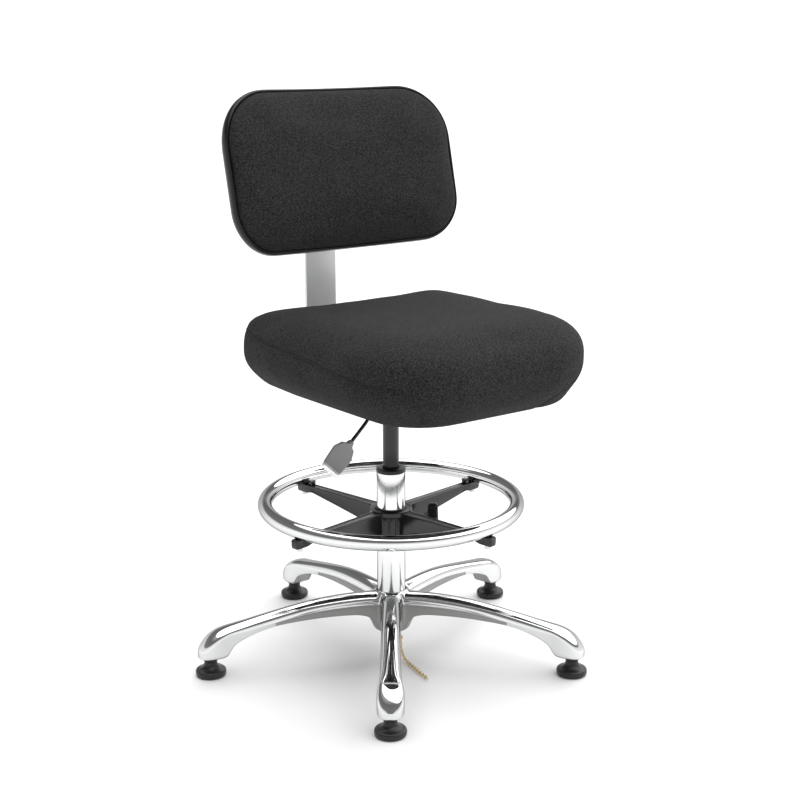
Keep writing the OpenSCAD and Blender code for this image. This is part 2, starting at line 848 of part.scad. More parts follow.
module ring_bolts() {
    color(c_steel) for (i = [0 : 3]) rotate([0, 0, spoke_turn + 90 * i])
        translate([ring_r, 0, spoke_top - 15.3]) {
            cylinder(r = 3, h = 22);
            translate([0, 0, -5.5]) cylinder(r = 5.5, h = 5.5);
        }
}

module ring_screw() {
    color(c_steel) rotate([0, 0, ring_knob_turn]) translate([liner_r + 0.3, 0, ring_knob_z])
        rotate([0, 90, 0]) cylinder(r = bolt_r, h = 42);
}

module ring_knob() {
    color(c_black) rotate([0, 0, ring_knob_turn]) difference() {
        translate([0, 0, ring_knob_z]) rotate([0, 90, 0]) {
            translate([0, 0, 51]) cylinder(r = 9, h = 13.5);
            translate([0, 0, 64]) lobed_knob(30, 17, 4);
        }
        translate([liner_r, 0, ring_knob_z]) rotate([0, 90, 0])
            cylinder(r = bolt_r, h = 42.3);
    }
}

base_casting();
glide(0);  // glide_1
glide(1);  // glide_2
glide(2);  // glide_3
glide(3);  // glide_4
glide(4);  // glide_5
glide_stems();
column_sleeve();
column_end_plate();
column_bush();
lower_race();
chain_screw();
chain_eyelet();
drag_chain();
piston_rod();
piston_head();
bump_stop();
thrust_balls();
upper_race();
rod_clip();
gas_cylinder();
cylinder_gland();
release_pin();
taper_socket();
mechanism_housing();
lever_pin();
lever_rod();
lever_paddle();
seat_board();
seat_cushion();
seat_dust_cover();
seat_bolts();
seat_tee_nuts();
bar_guide();
depth_screw();
depth_knob();
back_bar();
bar_clamp();
back_pivot_pin();
pivot_clips();
back_screw();
back_knob();
back_board();
back_cushion();
back_trim();
back_shell();
back_bracket();
back_bolts();
ring_liner();
ring_spider();
foot_ring();
ring_bolts();
ring_screw();
ring_knob();
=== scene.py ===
# Drafting chair: the visible model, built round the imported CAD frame.
# Metres, +Z up. The origin is on the floor under the column and the seat faces -Y.

import json
import math

import bmesh
import bpy
import numpy as np
from mathutils import Matrix, Quaternion, Vector, kdtree
from mathutils.bvhtree import BVHTree


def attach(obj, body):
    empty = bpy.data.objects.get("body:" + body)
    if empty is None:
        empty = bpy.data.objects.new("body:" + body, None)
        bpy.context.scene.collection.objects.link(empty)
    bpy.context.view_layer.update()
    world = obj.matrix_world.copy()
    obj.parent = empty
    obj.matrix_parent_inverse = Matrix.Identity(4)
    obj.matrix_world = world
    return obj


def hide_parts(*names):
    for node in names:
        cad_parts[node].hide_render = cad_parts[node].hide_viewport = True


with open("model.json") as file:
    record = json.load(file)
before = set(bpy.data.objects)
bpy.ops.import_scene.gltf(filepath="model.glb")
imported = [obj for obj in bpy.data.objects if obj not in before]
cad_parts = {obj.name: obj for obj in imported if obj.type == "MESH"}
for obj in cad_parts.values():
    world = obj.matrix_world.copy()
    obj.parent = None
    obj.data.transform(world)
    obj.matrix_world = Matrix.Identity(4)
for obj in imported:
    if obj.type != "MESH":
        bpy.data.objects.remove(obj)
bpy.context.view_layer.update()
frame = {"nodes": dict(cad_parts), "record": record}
scene = bpy.context.scene
nodes_of_cad = frame["nodes"]

MM = 0.001
TURN = 2 * math.pi

# ---------- sizes shared with the CAD, in millimetres ----------

BASE_TURN = -127
GLIDE_RING = 324
SLEEVE_R = 25
SLEEVE_FOOT = 52
SLEEVE_TOP = 332
GAS_R = 14
SPOKE_TURN = 10
SPOKE_TOP = 265.3
RING_R = 217.3
RING_TUBE_R = 12.7
RING_Z = 278
SEAT_W = 468
SEAT_D = 474
SEAT_T = 132
SEAT_Z = 487
SEAT_FORWARD = 87
BACK_W = 460
BACK_H = 274
BACK_CORNER = 96
BACK_LOW_CORNER = 76
BACK_Y = 147
BACK_Z = 838
BACK_LEAN = 13
BACK_CURVE = 1200
BAR_W = 63.5
BAR_T = 6.35
BAR_Y = 205.2
BAR_TOP = 878
LEVER_Z = 477

# ---------- camera, at the photograph's viewing angle ----------

TARGET = Vector((0.0127, -0.00957, 0.45794))
AZIMUTH = math.radians(-37)
ELEVATION = math.radians(14.0688)
ROLL = math.radians(-0.1345)
DISTANCE = 2.49591

camera = bpy.data.objects.new("camera", bpy.data.cameras.new("camera"))
scene.collection.objects.link(camera)
away = Vector((
    math.sin(AZIMUTH) * math.cos(ELEVATION),
    -math.cos(AZIMUTH) * math.cos(ELEVATION),
    math.sin(ELEVATION),
))
camera.location = TARGET + away * DISTANCE
camera.rotation_mode = "QUATERNION"
camera.rotation_quaternion = (-away).to_track_quat("-Z", "Y") @ Quaternion((0, 0, 1), ROLL)
camera.data.sensor_width = 36
camera.data.lens = 66.03
camera.data.clip_start = 0.05
camera.data.clip_end = 200
scene.camera = camera

# ---------- materials ----------


def set_inputs(shader, **values):
    """Sets a shader node's inputs by name, with _ for a space."""
    for name, value in values.items():
        shader.inputs[name.replace("_", " ")].default_value = value
    return shader


def node(tree, kind, **values):
    """Adds a shader node and sets its inputs by name."""
    return set_inputs(tree.nodes.new(kind), **values)


def sum_node(tree, operation, *values, kind="ShaderNodeMath"):
    """A node that works out one sum from numbers and from other nodes' outputs, given in order."""
    made = tree.nodes.new(kind)
    made.operation = operation
    for place, value in zip(made.inputs, values):
        if isinstance(value, bpy.types.NodeSocket):
            tree.links.new(value, place)
        else:
            place.default_value = value
    return made


def noise_node(tree, coords, scale, detail=3.0, roughness=0.55, stretch=None):
    """Noise of so many cells a metre, over the object's own coordinates."""
    source = coords.outputs["Object"]
    if stretch:
        mapping = tree.nodes.new("ShaderNodeMapping")
        mapping.inputs["Scale"].default_value = stretch
        tree.links.new(source, mapping.inputs["Vector"])
        source = mapping.outputs["Vector"]
    made = node(tree, "ShaderNodeTexNoise", Scale=scale, Detail=detail, Roughness=roughness)
    tree.links.new(source, made.inputs["Vector"])
    return made


def spread_node(tree, source, low, high, start=0.3, end=0.7):
    """Turns a noise value into a range of values."""
    made = node(tree, "ShaderNodeMapRange", From_Min=start, From_Max=end, To_Min=low, To_Max=high)
    tree.links.new(source, made.inputs["Value"])
    return made


def mix_node(tree, factor, dark, light):
    """Mixes two colours by a value."""
    made = tree.nodes.new("ShaderNodeMix")
    made.data_type = "RGBA"
    made.inputs["A"].default_value = (*dark, 1)
    made.inputs["B"].default_value = (*light, 1)
    tree.links.new(factor, made.inputs["Factor"])
    return made


def scaled(colour, factor):
    return tuple(min(1.0, c * factor) for c in colour)


def finish(name, colour, rough, metal=0.0, shade=0.12, rough_spread=0.05, grain=900.0,
           grain_depth=0.00002, cloud=35.0, stretch=None, coat=0.0, sheen=0.0, specular=0.5, limb=1.0):
    """A surface whose colour and roughness drift a little, with a fine grain in its bump."""
    made = bpy.data.materials.new(name)
    made.use_nodes = True
    tree = made.node_tree
    surface = tree.nodes["Principled BSDF"]
    set_inputs(surface, Metallic=metal, Specular_IOR_Level=specular, Specular_Tint=(limb, limb, limb, 1),
               Coat_Weight=coat, Coat_Roughness=0.08, Sheen_Weight=sheen, Sheen_Roughness=0.45)
    coords = tree.nodes.new("ShaderNodeTexCoord")
    drift = noise_node(tree, coords, cloud, 4.0, 0.6, stretch)
    paint = mix_node(tree, drift.outputs["Fac"], scaled(colour, 1 - shade), scaled(colour, 1 + shade))
    tree.links.new(paint.outputs["Result"], surface.inputs["Base Color"])
    gloss = spread_node(tree, drift.outputs["Fac"], rough - rough_spread, rough + rough_spread)
    tree.links.new(gloss.outputs["Result"], surface.inputs["Roughness"])
    fine = noise_node(tree, coords, grain, 2.0, 0.5, stretch)
    bump = node(tree, "ShaderNodeBump", Strength=1.0, Distance=grain_depth)
    tree.links.new(fine.outputs["Fac"], bump.inputs["Height"])
    tree.links.new(bump.outputs["Normal"], surface.inputs["Normal"])
    return made


def fabric_finish(name, dark, light, thread=0.0011, depth=0.00035, sheen=0.35):
    """A close crepe weave: two crossing threads broken up by noise, flecked light and dark."""
    made = bpy.data.materials.new(name)
    made.use_nodes = True
    tree = made.node_tree
    surface = tree.nodes["Principled BSDF"]
    set_inputs(surface, Sheen_Weight=sheen, Sheen_Roughness=0.35, Specular_IOR_Level=0.16)
    coords = tree.nodes.new("ShaderNodeTexCoord")
    wander = noise_node(tree, coords, 320.0, 2.0, 0.5)
    bend = sum_node(tree, "MULTIPLY_ADD", wander.outputs["Color"], (0.0011, 0.0011, 0.0011),
                    coords.outputs["Object"], kind="ShaderNodeVectorMath")
    heights = []
    for direction in ((1, 0.35, 0.2), (-0.35, 1, 0.6), (0.2, -0.6, 1)):
        across = Vector(direction).normalized() * (TURN / thread)
        threads = sum_node(tree, "DOT_PRODUCT", bend.outputs["Vector"], across, kind="ShaderNodeVectorMath")
        heights.append(sum_node(tree, "SINE", threads.outputs["Value"]).outputs["Value"])
    product = sum_node(tree, "MULTIPLY", heights[0], heights[1])
    weave = sum_node(tree, "MULTIPLY_ADD", heights[2], 0.6, product.outputs["Value"])
    fleck = noise_node(tree, coords, 430.0, 2.0, 0.7)
    cloud = noise_node(tree, coords, 22.0, 3.0, 0.5)
    tone = sum_node(tree, "MULTIPLY_ADD", weave.outputs["Value"], 0.06, fleck.outputs["Fac"])
    drifted = sum_node(tree, "MULTIPLY_ADD", cloud.outputs["Fac"], 0.06, tone.outputs["Value"])
    range_of = spread_node(tree, drifted.outputs["Value"], 0.0, 1.0, 0.38, 0.7)
    paint = mix_node(tree, range_of.outputs["Result"], dark, light)
    tree.links.new(paint.outputs["Result"], surface.inputs["Base Color"])
    gloss = spread_node(tree, fleck.outputs["Fac"], 0.78, 0.95)
    tree.links.new(gloss.outputs["Result"], surface.inputs["Roughness"])
    bump = node(tree, "ShaderNodeBump", Strength=0.8, Distance=depth)
    tree.links.new(weave.outputs["Value"], bump.inputs["Height"])
    nap = node(tree, "ShaderNodeBump", Strength=0.5, Distance=depth)
    tree.links.new(fleck.outputs["Fac"], nap.inputs["Height"])
    tree.links.new(bump.outputs["Normal"], nap.inputs["Normal"])
    tree.links.new(nap.outputs["Normal"], surface.inputs["Normal"])
    return made


def wood_finish(name, light, dark):
    """Birch plywood: long grain on its faces and thin dark glue lines through its thickness."""
    made = finish(name, light, 0.55, shade=0.08, grain=500.0)
    tree = made.node_tree
    surface = tree.nodes["Principled BSDF"]
    coords = tree.nodes.new("ShaderNodeTexCoord")
    long_grain = noise_node(tree, coords, 30.0, 5.0, 0.6, (1, 14, 14))
    layers = node(tree, "ShaderNodeTexWave", Scale=110.0, Distortion=0.4)
    layers.bands_direction = "Z"
    tree.links.new(coords.outputs["Object"], layers.inputs["Vector"])
    both = sum_node(tree, "MULTIPLY", long_grain.outputs["Fac"], layers.outputs["Fac"])
    paint = mix_node(tree, both.outputs["Value"], dark, light)
    tree.links.new(paint.outputs["Result"], surface.inputs["Base Color"])
    return made


POLISHED = finish("polished_aluminium", (0.74, 0.745, 0.75), 0.075, 1.0, 0.03, 0.03, 260.0, 0.00001, 18.0,
                  limb=0.4)
AS_CAST = finish("cast_aluminium", (0.36, 0.36, 0.355), 0.55, 0.85, 0.12, 0.08, 900.0, 0.00012, 60.0)
CHROME = finish("chrome", (0.76, 0.765, 0.77), 0.045, 1.0, 0.02, 0.02, 300.0, 0.000004, 14.0, limb=0.35)
TUBING = finish("chrome_tube", (0.82, 0.825, 0.83), 0.13, 1.0, 0.02, 0.03, 500.0, 0.000006, 26.0,
                (14, 14, 0.6), limb=0.35)
NICKEL = finish("plated_bar", (0.88, 0.885, 0.89), 0.34, 0.22, 0.02, 0.03, 900.0, 0.000004, 30.0, (14, 14, 1),
                limb=0.7)
MOULDED = finish("black_moulding", (0.012, 0.012, 0.013), 0.38, 0.0, 0.25, 0.06, 1400.0, 0.00006, 40.0,
                 specular=0.4)
GLOSSY = finish("gloss_trim", (0.01, 0.01, 0.011), 0.22, 0.0, 0.2, 0.04, 500.0, 0.00001, 30.0,
                specular=0.22)
SHELL = finish("black_shell", (0.006, 0.006, 0.0065), 0.45, 0.0, 0.2, 0.05, 1400.0, 0.00005, 40.0,
               specular=0.16)
POWDER = finish("black_powder_coat", (0.007, 0.007, 0.0075), 0.2, 0.0, 0.25, 0.05, 1100.0, 0.00004, 45.0,
                specular=0.5)
ZINC = finish("zinc_plate", (0.62, 0.63, 0.64), 0.3, 1.0, 0.08, 0.08, 700.0, 0.00003, 60.0)
GROUND = finish("ground_steel", (0.7, 0.7, 0.71), 0.2, 1.0, 0.04, 0.05, 900.0, 0.00001, 60.0, (20, 20, 1))
SILVER = finish("silver_paint", (0.24, 0.242, 0.24), 0.42, 0.3, 0.06, 0.05, 1500.0, 0.00005, 50.0)
# Paddle lip: a glossier metal than the painted face, and its much lighter colour is a painted highlight along
# the lip
LIP_PAINTED_HIGHLIGHT = finish("lip_painted_highlight", (0.86, 0.865, 0.87), 0.22, 0.7, 0.03, 0.04, 900.0, 0.00001, 50.0)
RUBBER = finish("rubber", (0.03, 0.03, 0.03), 0.75, 0.0, 0.2, 0.08, 1200.0, 0.0001, 50.0)
BRASS = finish("brass", (0.66, 0.46, 0.17), 0.24, 1.0, 0.18, 0.1, 900.0, 0.00002, 160.0)
LINING = finish("dust_cloth", (0.02, 0.02, 0.02), 0.85, 0.0, 0.3, 0.05, 1800.0, 0.0003, 60.0, sheen=0.2)
FABRIC = fabric_finish("black_fabric", (0.0025, 0.0025, 0.003), (0.046, 0.046, 0.047), sheen=0.02)
PLYWOOD = wood_finish("birch_plywood", (0.66, 0.5, 0.32), (0.4, 0.26, 0.14))

# Every CAD node that shows gets its finish here
node_finishes = {
    "polished_aluminium": POLISHED, "chrome": CHROME, "black_moulding": MOULDED,
    "gloss_trim": GLOSSY, "black_steel": POWDER, "bright_steel": ZINC, "silver_paddle": SILVER,
    "rubber": RUBBER, "plywood": PLYWOOD, "black_fabric": FABRIC, "dust_cloth": LINING,
    "brass": BRASS,
}
for part in frame["record"]["subparts"]:
    mesh = nodes_of_cad[part["node"]].data
    mesh.materials.clear()
    mesh.materials.append(node_finishes[part["material_slot"]])
for name in ("piston_rod", "thrust_balls", "lower_race", "upper_race", "lever_pin", "back_pivot_pin"):
    nodes_of_cad[name].data.materials[0] = GROUND

# ---------- helpers that make meshes ----------


def piece(name, verts, faces, finish_of, body, stands_for=(), slot=None, scale=MM, smooth=True,
          picks=None):
    """A mesh object from points and faces, riding on a CAD body and hiding the nodes it stands for."""
    mesh = bpy.data.meshes.new(name)
    mesh.from_pydata([tuple(c * scale for c in v) for v in verts], [], [list(f) for f in faces])
    for one in finish_of if isinstance(finish_of, (list, tuple)) else [finish_of]:
        mesh.materials.append(one)
    if picks is not None:
        mesh.polygons.foreach_set("material_index", picks)
    made = bpy.data.objects.new(name, mesh)
    scene.collection.objects.link(made)
    clean(made)
    if smooth:
        mesh.polygons.foreach_set("use_smooth", [True] * len(mesh.polygons))
    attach(made, body)
    if stands_for:
        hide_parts(*stands_for)
    return made


def clean(made, gap=0.00001):
    """Joins points that coincide and turns every face outwards."""
    work = bmesh.new()
    work.from_mesh(made.data)
    bmesh.ops.remove_doubles(work, verts=work.verts, dist=gap)
    bmesh.ops.recalc_face_normals(work, faces=work.faces)
    work.to_mesh(made.data)
    work.free()


def bake(made):
    """Applies the object's modifiers to its mesh."""
    view = bpy.context.evaluated_depsgraph_get()
    view.update()
    new = bpy.data.meshes.new_from_object(made.evaluated_get(view), depsgraph=view)
    old = made.data
    made.modifiers.clear()
    made.data = new
    bpy.data.meshes.remove(old)
    return made


def add_change(made, kind, **settings):
    """Adds a modifier with its settings."""
    change = made.modifiers.new(kind.lower(), kind)
    for name, value in settings.items():
        setattr(change, name, value)
    return change


def subdivide(made, levels=1):
    add_change(made, "SUBSURF", levels=levels, render_levels=levels)
    return bake(made)


def round_edges(made, width, steps=3, angle=30, flat=True):
    """Rounds every edge sharper than an angle."""
    add_change(made, "BEVEL", width=width, segments=steps, limit_method="ANGLE",
               angle_limit=math.radians(angle), harden_normals=flat)
    bake(made)
    return shade(made)


def shade(made, angle=35):
    """Shades smooth, with edges sharper than an angle left crisp."""
    made.data.polygons.foreach_set("use_smooth", [True] * len(made.data.polygons))
    made.data.set_sharp_from_angle(angle=math.radians(angle))
    return made


def on_circle(r, a):
    """The point at radius r and angle a: (across, up)."""
    return r * math.cos(a), r * math.sin(a)


def turned(profile, steps=64):
    """Points and faces of a profile of (radius, height) turned about Z. A radius of 0 closes an end."""
    verts = []
    faces = []
    rows = []
    for r, z in profile:
        if r < 1e-6:
            rows.append([len(verts)])
            verts.append((0, 0, z))
            continue
        rows.append(list(range(len(verts), len(verts) + steps)))
        verts += [(*on_circle(r, TURN * k / steps), z) for k in range(steps)]
    for a, b in zip(rows, rows[1:]):
        for k in range(steps):
            n = (k + 1) % steps
            if len(a) == 1:
                faces.append((a[0], b[n], b[k]))
            elif len(b) == 1:
                faces.append((a[k], a[n], b[0]))
            else:
                faces.append((a[k], a[n], b[n], b[k]))
    return verts, faces


def loop_rows(rows, close_rows=False):
    """Faces between rows of points, each row a closed ring of the same length."""
    faces = []
    count = len(rows[0])
    spans = len(rows) if close_rows else len(rows) - 1
    for i in range(spans):
        j = (i + 1) % len(rows)
        for k in range(count):
            n = (k + 1) % count
            faces.append((i * count + k, i * count + n, j * count + n, j * count + k))
    return faces


def moved(verts, matrix):
    return [tuple(matrix @ Vector(v)) for v in verts]


def gathered(parts):
    """One list of points and faces from several."""
    verts = []
    faces = []
    for some_verts, some_faces in parts:
        start = len(verts)
        verts += some_verts
        faces += [tuple(start + i for i in f) for f in some_faces]
    return verts, faces


def tube(points, radius, sides=16, start_up=(0, 0, 1)):
    """A round tube along points, with domed ends."""
    path = [Vector(p) for p in points]
    up = Vector(start_up)
    rows = []
    for i, p in enumerate(path):
        ahead = (path[min(i + 1, len(path) - 1)] - path[max(i - 1, 0)]).normalized()
        side = ahead.cross(up).normalized()
        up = side.cross(ahead).normalized()
        rows.append((p, side, up, ahead))
    verts = []
    for end, out in ((0, -1), (len(rows) - 1, 1)):
        p, side, lift, ahead = rows[end]
        caps = [
            (p + ahead * out * radius * 0.8, side, lift, 0.35),
            (p + ahead * out * radius * 0.5, side, lift, 0.8),
        ]
        if end == 0:
            head = caps
        else:
            tail = caps[::-1]
    full = head + [(p, s, u, 1.0) for p, s, u, a in rows] + tail
    for p, side, lift, size in full:
        for k in range(sides):
            a = TURN * k / sides
            verts.append(tuple(p + (side * math.cos(a) + lift * math.sin(a)) * radius * size))
    faces = loop_rows([range(sides)] * len(full))
    faces.append(tuple(range(sides - 1, -1, -1)))
    faces.append(tuple(range((len(full) - 1) * sides, len(full) * sides)))
    return verts, faces


def smooth_path(points, steps=6):
    """More points on a smooth curve through the given ones."""
    path = [Vector(p) for p in points]
    out = []
    for i in range(len(path) - 1):
        a = path[max(i - 1, 0)]
        b = path[i]
        c = path[i + 1]
        d = path[min(i + 2, len(path) - 1)]
        for s in range(steps):
            t = s / steps
            out.append(0.5 * ((2 * b) + (c - a) * t + (2 * a - 5 * b + 4 * c - d) * t * t
                              + (3 * b - a - 3 * c + d) * t ** 3))
    return out + [path[-1]]


def rounded_rect(w, h, r, steps=8):
    """A rectangle with round corners, counter-clockwise."""
    out = []
    for cx, cy, start in ((1, 1, 0), (-1, 1, 90), (-1, -1, 180), (1, -1, 270)):
        for k in range(steps + 1):
            a = math.radians(start + 90 * k / steps)
            out.append((cx * (w / 2 - r) + r * math.cos(a), cy * (h / 2 - r) + r * math.sin(a)))
    return out


# ---------- the drag chain, first because it is free ----------

CHAIN_ROUTE = [
    (-6, -35, 33.6), (-6, -35.5, 28), (-6.5, -37, 21), (-7.5, -41, 13), (-9, -48, 7),
    (-11, -57, 4), (-13, -68, 3), (-16, -82, 3), (-19, -97, 3), (-22, -112, 3),
    (-24, -124, 3), (-26, -137, 3),
]
chain_line = smooth_path(CHAIN_ROUTE, 8)
LINK_PITCH = 4.9
LINK_WIRE = 0.8


def link(centre, ahead, up):
    """One wire loop of the chain, longer than wide."""
    side = ahead.cross(up).normalized()
    lift = side.cross(ahead).normalized()
    rows = []
    for k in range(20):
        a = TURN * k / 20
        spread = Vector((math.cos(a), math.sin(a)))
        middle = centre + ahead * (spread.x * 2.9) + side * (spread.y * 1.95)
        out = (ahead * spread.x + side * spread.y).normalized()
        turns = [TURN * j / 8 for j in range(8)]
        rows.append([tuple(middle + (out * math.cos(b) + lift * math.sin(b)) * LINK_WIRE) for b in turns])
    return [v for row in rows for v in row], loop_rows(rows, close_rows=True)


links = []
travelled = LINK_PITCH * 0.55
walked = 0.0
for i in range(len(chain_line) - 1):
    step = (chain_line[i + 1] - chain_line[i]).length
    while walked + step > travelled:
        spot = chain_line[i].lerp(chain_line[i + 1], (travelled - walked) / step)
        ahead = (chain_line[i + 1] - chain_line[i]).normalized()
        turn = Quaternion(ahead, math.radians(45 + 90 * (len(links) % 2)))
        links.append(link(spot, ahead, turn @ Vector((0.98, -0.199, 0.05))))
        travelled += LINK_PITCH
    walked += step
chain = piece("drag_chain_links", *gathered(links), BRASS, "base", ["drag_chain"], "brass")

# ---------- the base: five legs round a hub, one casting ----------

# Leg stations: distance out, half width, top, crease, underside, recess of the flank, top of the hollow
LEG_STATIONS = [
    (38.5, 19.6, 116.2, 96.5, 66, 2.4, None),
    (44, 18.9, 116.5, 96.8, 72.5, 2.6, None),
    (47, 18.7, 116.6, 96.9, 74.5, 2.6, 106),
    (62, 18.4, 117, 97.3, 80, 2.6, 111),
    (90, 18, 117, 97.6, 82, 2.6, 111.5),
    (125, 17.5, 115.3, 96.6, 83, 2.5, 110),
    (155, 17.1, 111.8, 94.6, 82.6, 2.2, 106.5),
    (185, 16.8, 106.8, 90, 81.2, 1.6, 101.5),
    (213, 16.7, 101.4, 84.8, 79.4, 0.9, 96.5),
    (240, 16.8, 96.1, 80.8, 73.6, 0.3, 91),
    (262, 17.1, 91.4, 78, 66, 0, 86),
    (279, 17.7, 87.9, 76.3, 58, 0, 82),
    (287, 18.2, 86.3, 75.4, 51.5, 0, 60),
    (292, 18.7, 85.3, 74.6, 43, 0, None),
    (297, 19.4, 84.2, 73.2, 35.6, 0, None),
    (306, 20.9, 81.8, 69.6, 34, 0, None),
    (316, 22, 78.2, 63.4, 34, 0, None),
    (326, 22.1, 71.6, 55.5, 34, 0, None),
    (334, 20, 63.8, 48, 34, 0, None),
    (340.5, 15.4, 55, 42, 34, 0, None),
    (344, 9.6, 47, 38.5, 34, 0, None),
]
CROWN_ANGLES = (-90, -68, -45, -22, 0, 22, 45, 68, 90)
CROWN_POWER = 2.35


def crown(half, crease, top):
    """Points across a leg's rounded top, from one crease to the other: (across, height)."""
    out = []
    for a in CROWN_ANGLES:
        s = math.sin(math.radians(a))
        c = math.cos(math.radians(a))
        across = half * math.copysign(abs(s) ** (2 / CROWN_POWER), s)
        out.append((across, crease + (top - crease) * abs(c) ** (2 / CROWN_POWER)))
    return out


def leg_ring(x, half, top, crease, under, recess, hollow):
    """One closed ring of a leg: its top, down a flank, across the underside and up again."""
    web = half - recess
    inner = web - 4.2
    step = min(1.6, (crease - under) * 0.3)
    ring = [(x, y, z) for y, z in crown(half, crease, top)]
    ring += [(x, web, crease - step), (x, web, (crease + under) / 2)]
    if hollow is None:
        floor = [under] * 7
        across = [inner, inner * 0.9, inner * 0.6, 0, -inner * 0.6, -inner * 0.9, -inner]
    else:
        roof = min(hollow, top - 4.5)
        floor = [under, (under + crease) / 2, roof - 3, roof, roof - 3, (under + crease) / 2, under]
        across = [inner, inner, inner * 0.8, 0, -inner * 0.8, -inner, -inner]
    ring.append((x, web, under))
    ring += [(x, y, z) for y, z in zip(across, floor)]
    ring.append((x, -web, under))
    ring += [(x, -web, (crease + under) / 2), (x, -web, crease - step)]
    return ring


def arc_ring(radius_top, radius_side, top, crease, under):
    """The ring where a leg meets its neighbours, drawn round the hub over a fifth of a turn."""
    ring = []
    for y, z in crown(1.0, crease, top):
        a = math.radians(36 * y)
        r = radius_top + (radius_side - radius_top) * abs(y) ** 3
        ring.append((*on_circle(r, a), z))
    web = radius_side - 2.2
    heights = (crease - 1.6, (crease + under) / 2, under)
    ring += [(*on_circle(web, math.radians(36)), z) for z in heights]
    for y in (0.8, 0.6, 0.3, 0, -0.3, -0.6, -0.8):
        ring.append((*on_circle(web, math.radians(36 * y)), under))
    ring += [(*on_circle(web, math.radians(-36)), z) for z in heights[::-1]]
    return ring


def hub_arc(radius, z):
    """Nine points on an arc of the hub over a fifth of a turn."""
    return [(*on_circle(radius, math.radians(36 * y)), z) for y, _ in crown(1.0, 0, 1)]


# Each strip of a leg's flank is cast near the hub and polished from this distance out
BRIGHT_FROM = {8: 188, 9: 200, 10: 212, 19: 212, 20: 200, 21: 188}


def base_sector():
    """A fifth of the casting, from the bore of the hub to a toe: points, faces and finish of each face."""
    rings = [arc_ring(33, 34.5, 115.8, 95.5, 47.5)]
    rings += [leg_ring(*station) for station in LEG_STATIONS]
    count = len(rings[0])
    verts = [v for ring in rings for v in ring]
    faces = []
    picks = []
    for i in range(len(rings) - 1):
        for k in range(count):
            n = (k + 1) % count
            faces.append((i * count + k, i * count + n, (i + 1) * count + n, (i + 1) * count + k))
            picks.append(0 if k < 8 or verts[i * count + k][0] > BRIGHT_FROM.get(k, 999) else 1)
    last = (len(rings) - 1) * count
    tip = len(verts)
    verts += [(346, 0, 44), (346, 0, 36)]
    for k in range(8):
        faces.append((last + k, last + k + 1, tip))
        picks.append(0)
    right = [8, 9, 10, 11]
    for a, b in zip(right, right[1:]):
        faces.append((last + a, last + b, tip + 1) if a > 8 else (last + a, last + b, tip + 1, tip))
        picks.append(0)
    left = [19, 20, 21, 0]
    for a, b in zip(left, left[1:]):
        faces.append((last + a, last + b, tip + 1) if b != 0 else (last + a, last + b, tip, tip + 1))
        picks.append(0)
    under = list(range(11, 20))
    for a, b in zip(under, under[1:]):
        faces.append((last + a, last + b, tip + 1))
        picks.append(1)
    arcs = [
        hub_arc(29.4, 116), hub_arc(28, 117.5), hub_arc(27.2, 118), hub_arc(25.2, 118), hub_arc(25.1, 112),
        hub_arc(24.2, 60), hub_arc(24, 46.5), hub_arc(25, 46), hub_arc(29.5, 46),
    ]
    first = len(verts)
    for arc in arcs:
        verts += arc
    for k in range(8):
        faces.append((k, k + 1, first + k + 1, first + k))
        picks.append(0)
        for j in range(len(arcs) - 1):
            a = first + j * 9 + k
            faces.append((a, a + 1, a + 10, a + 9))
            picks.append(0 if j < 4 else 1)
        a = first + (len(arcs) - 1) * 9 + k
        faces.append((a, a + 1, 19 - k - 1, 19 - k))
        picks.append(1)
    return verts, faces, picks


sector = base_sector()
verts = []
faces = []
picks = []
for leg in range(5):
    spin = Matrix.Rotation(math.radians(BASE_TURN + 72 * leg), 4, "Z")
    start = len(verts)
    verts += moved(sector[0], spin)
    faces += [tuple(start + i for i in f) for f in sector[1]]
    picks += sector[2]
base = piece("base_star", verts, faces, [POLISHED, AS_CAST], "base", ["base_casting"],
             "polished_aluminium", picks=picks)
subdivide(base, 2)

# ---------- cushions ----------

SIM_STEPS = 20
CLOTH = {
    "quality": 5, "mass": 0.3, "tension_stiffness": 18, "compression_stiffness": 18,
    "shear_stiffness": 8, "bending_stiffness": 2.5, "use_pressure": True,
}


def rounded_outline(corners, sides=9, turns=12):
    """A convex outline of straight sides and round corners, each given by its centre and radius."""
    count = len(corners)
    joins = []
    for i in range(count):
        here = Vector(corners[i][:2])
        after = Vector(corners[(i + 1) % count][:2])
        gap = after - here
        lean = math.asin((corners[i][2] - corners[(i + 1) % count][2]) / gap.length)
        out = Matrix.Rotation(-math.pi / 2 + lean, 2) @ gap.normalized()
        joins.append(math.atan2(out.y, out.x))
    points = []
    for i in range(count):
        x, y, r = corners[i]
        start = joins[i - 1]
        sweep = (joins[i] - start) % TURN
        for k in range(turns + 1):
            a = start + sweep * k / turns
            points.append((x + r * math.cos(a), y + r * math.sin(a)))
        x2, y2, r2 = corners[(i + 1) % count]
        a = joins[i]
        begin = Vector(points[-1])
        end = Vector((x2 + r2 * math.cos(a), y2 + r2 * math.sin(a)))
        for k in range(1, sides):
            points.append(tuple(begin.lerp(end, k / sides)))
    return points


def closed_loft(rows):
    """Rows of points as a closed form, with both ends filled."""
    count = len(rows[0])
    faces = loop_rows(rows)
    faces.append(tuple(range(count - 1, -1, -1)))
    faces.append(tuple(range((len(rows) - 1) * count, len(rows) * count)))
    return [v for row in rows for v in row], faces


def evened(mesh, travel, rounds):
    """Spreads each point's travel among its neighbours, so that a tight cover shows no creases."""
    ends = np.array([e.vertices for e in mesh.edges])
    shares = np.bincount(ends.ravel(), minlength=len(travel))[:, None]
    for _ in range(rounds):
        total = np.zeros_like(travel)
        np.add.at(total, ends[:, 0], travel[ends[:, 1]])
        np.add.at(total, ends[:, 1], travel[ends[:, 0]])
        travel = 0.5 * travel + 0.5 * total / shares
    return travel


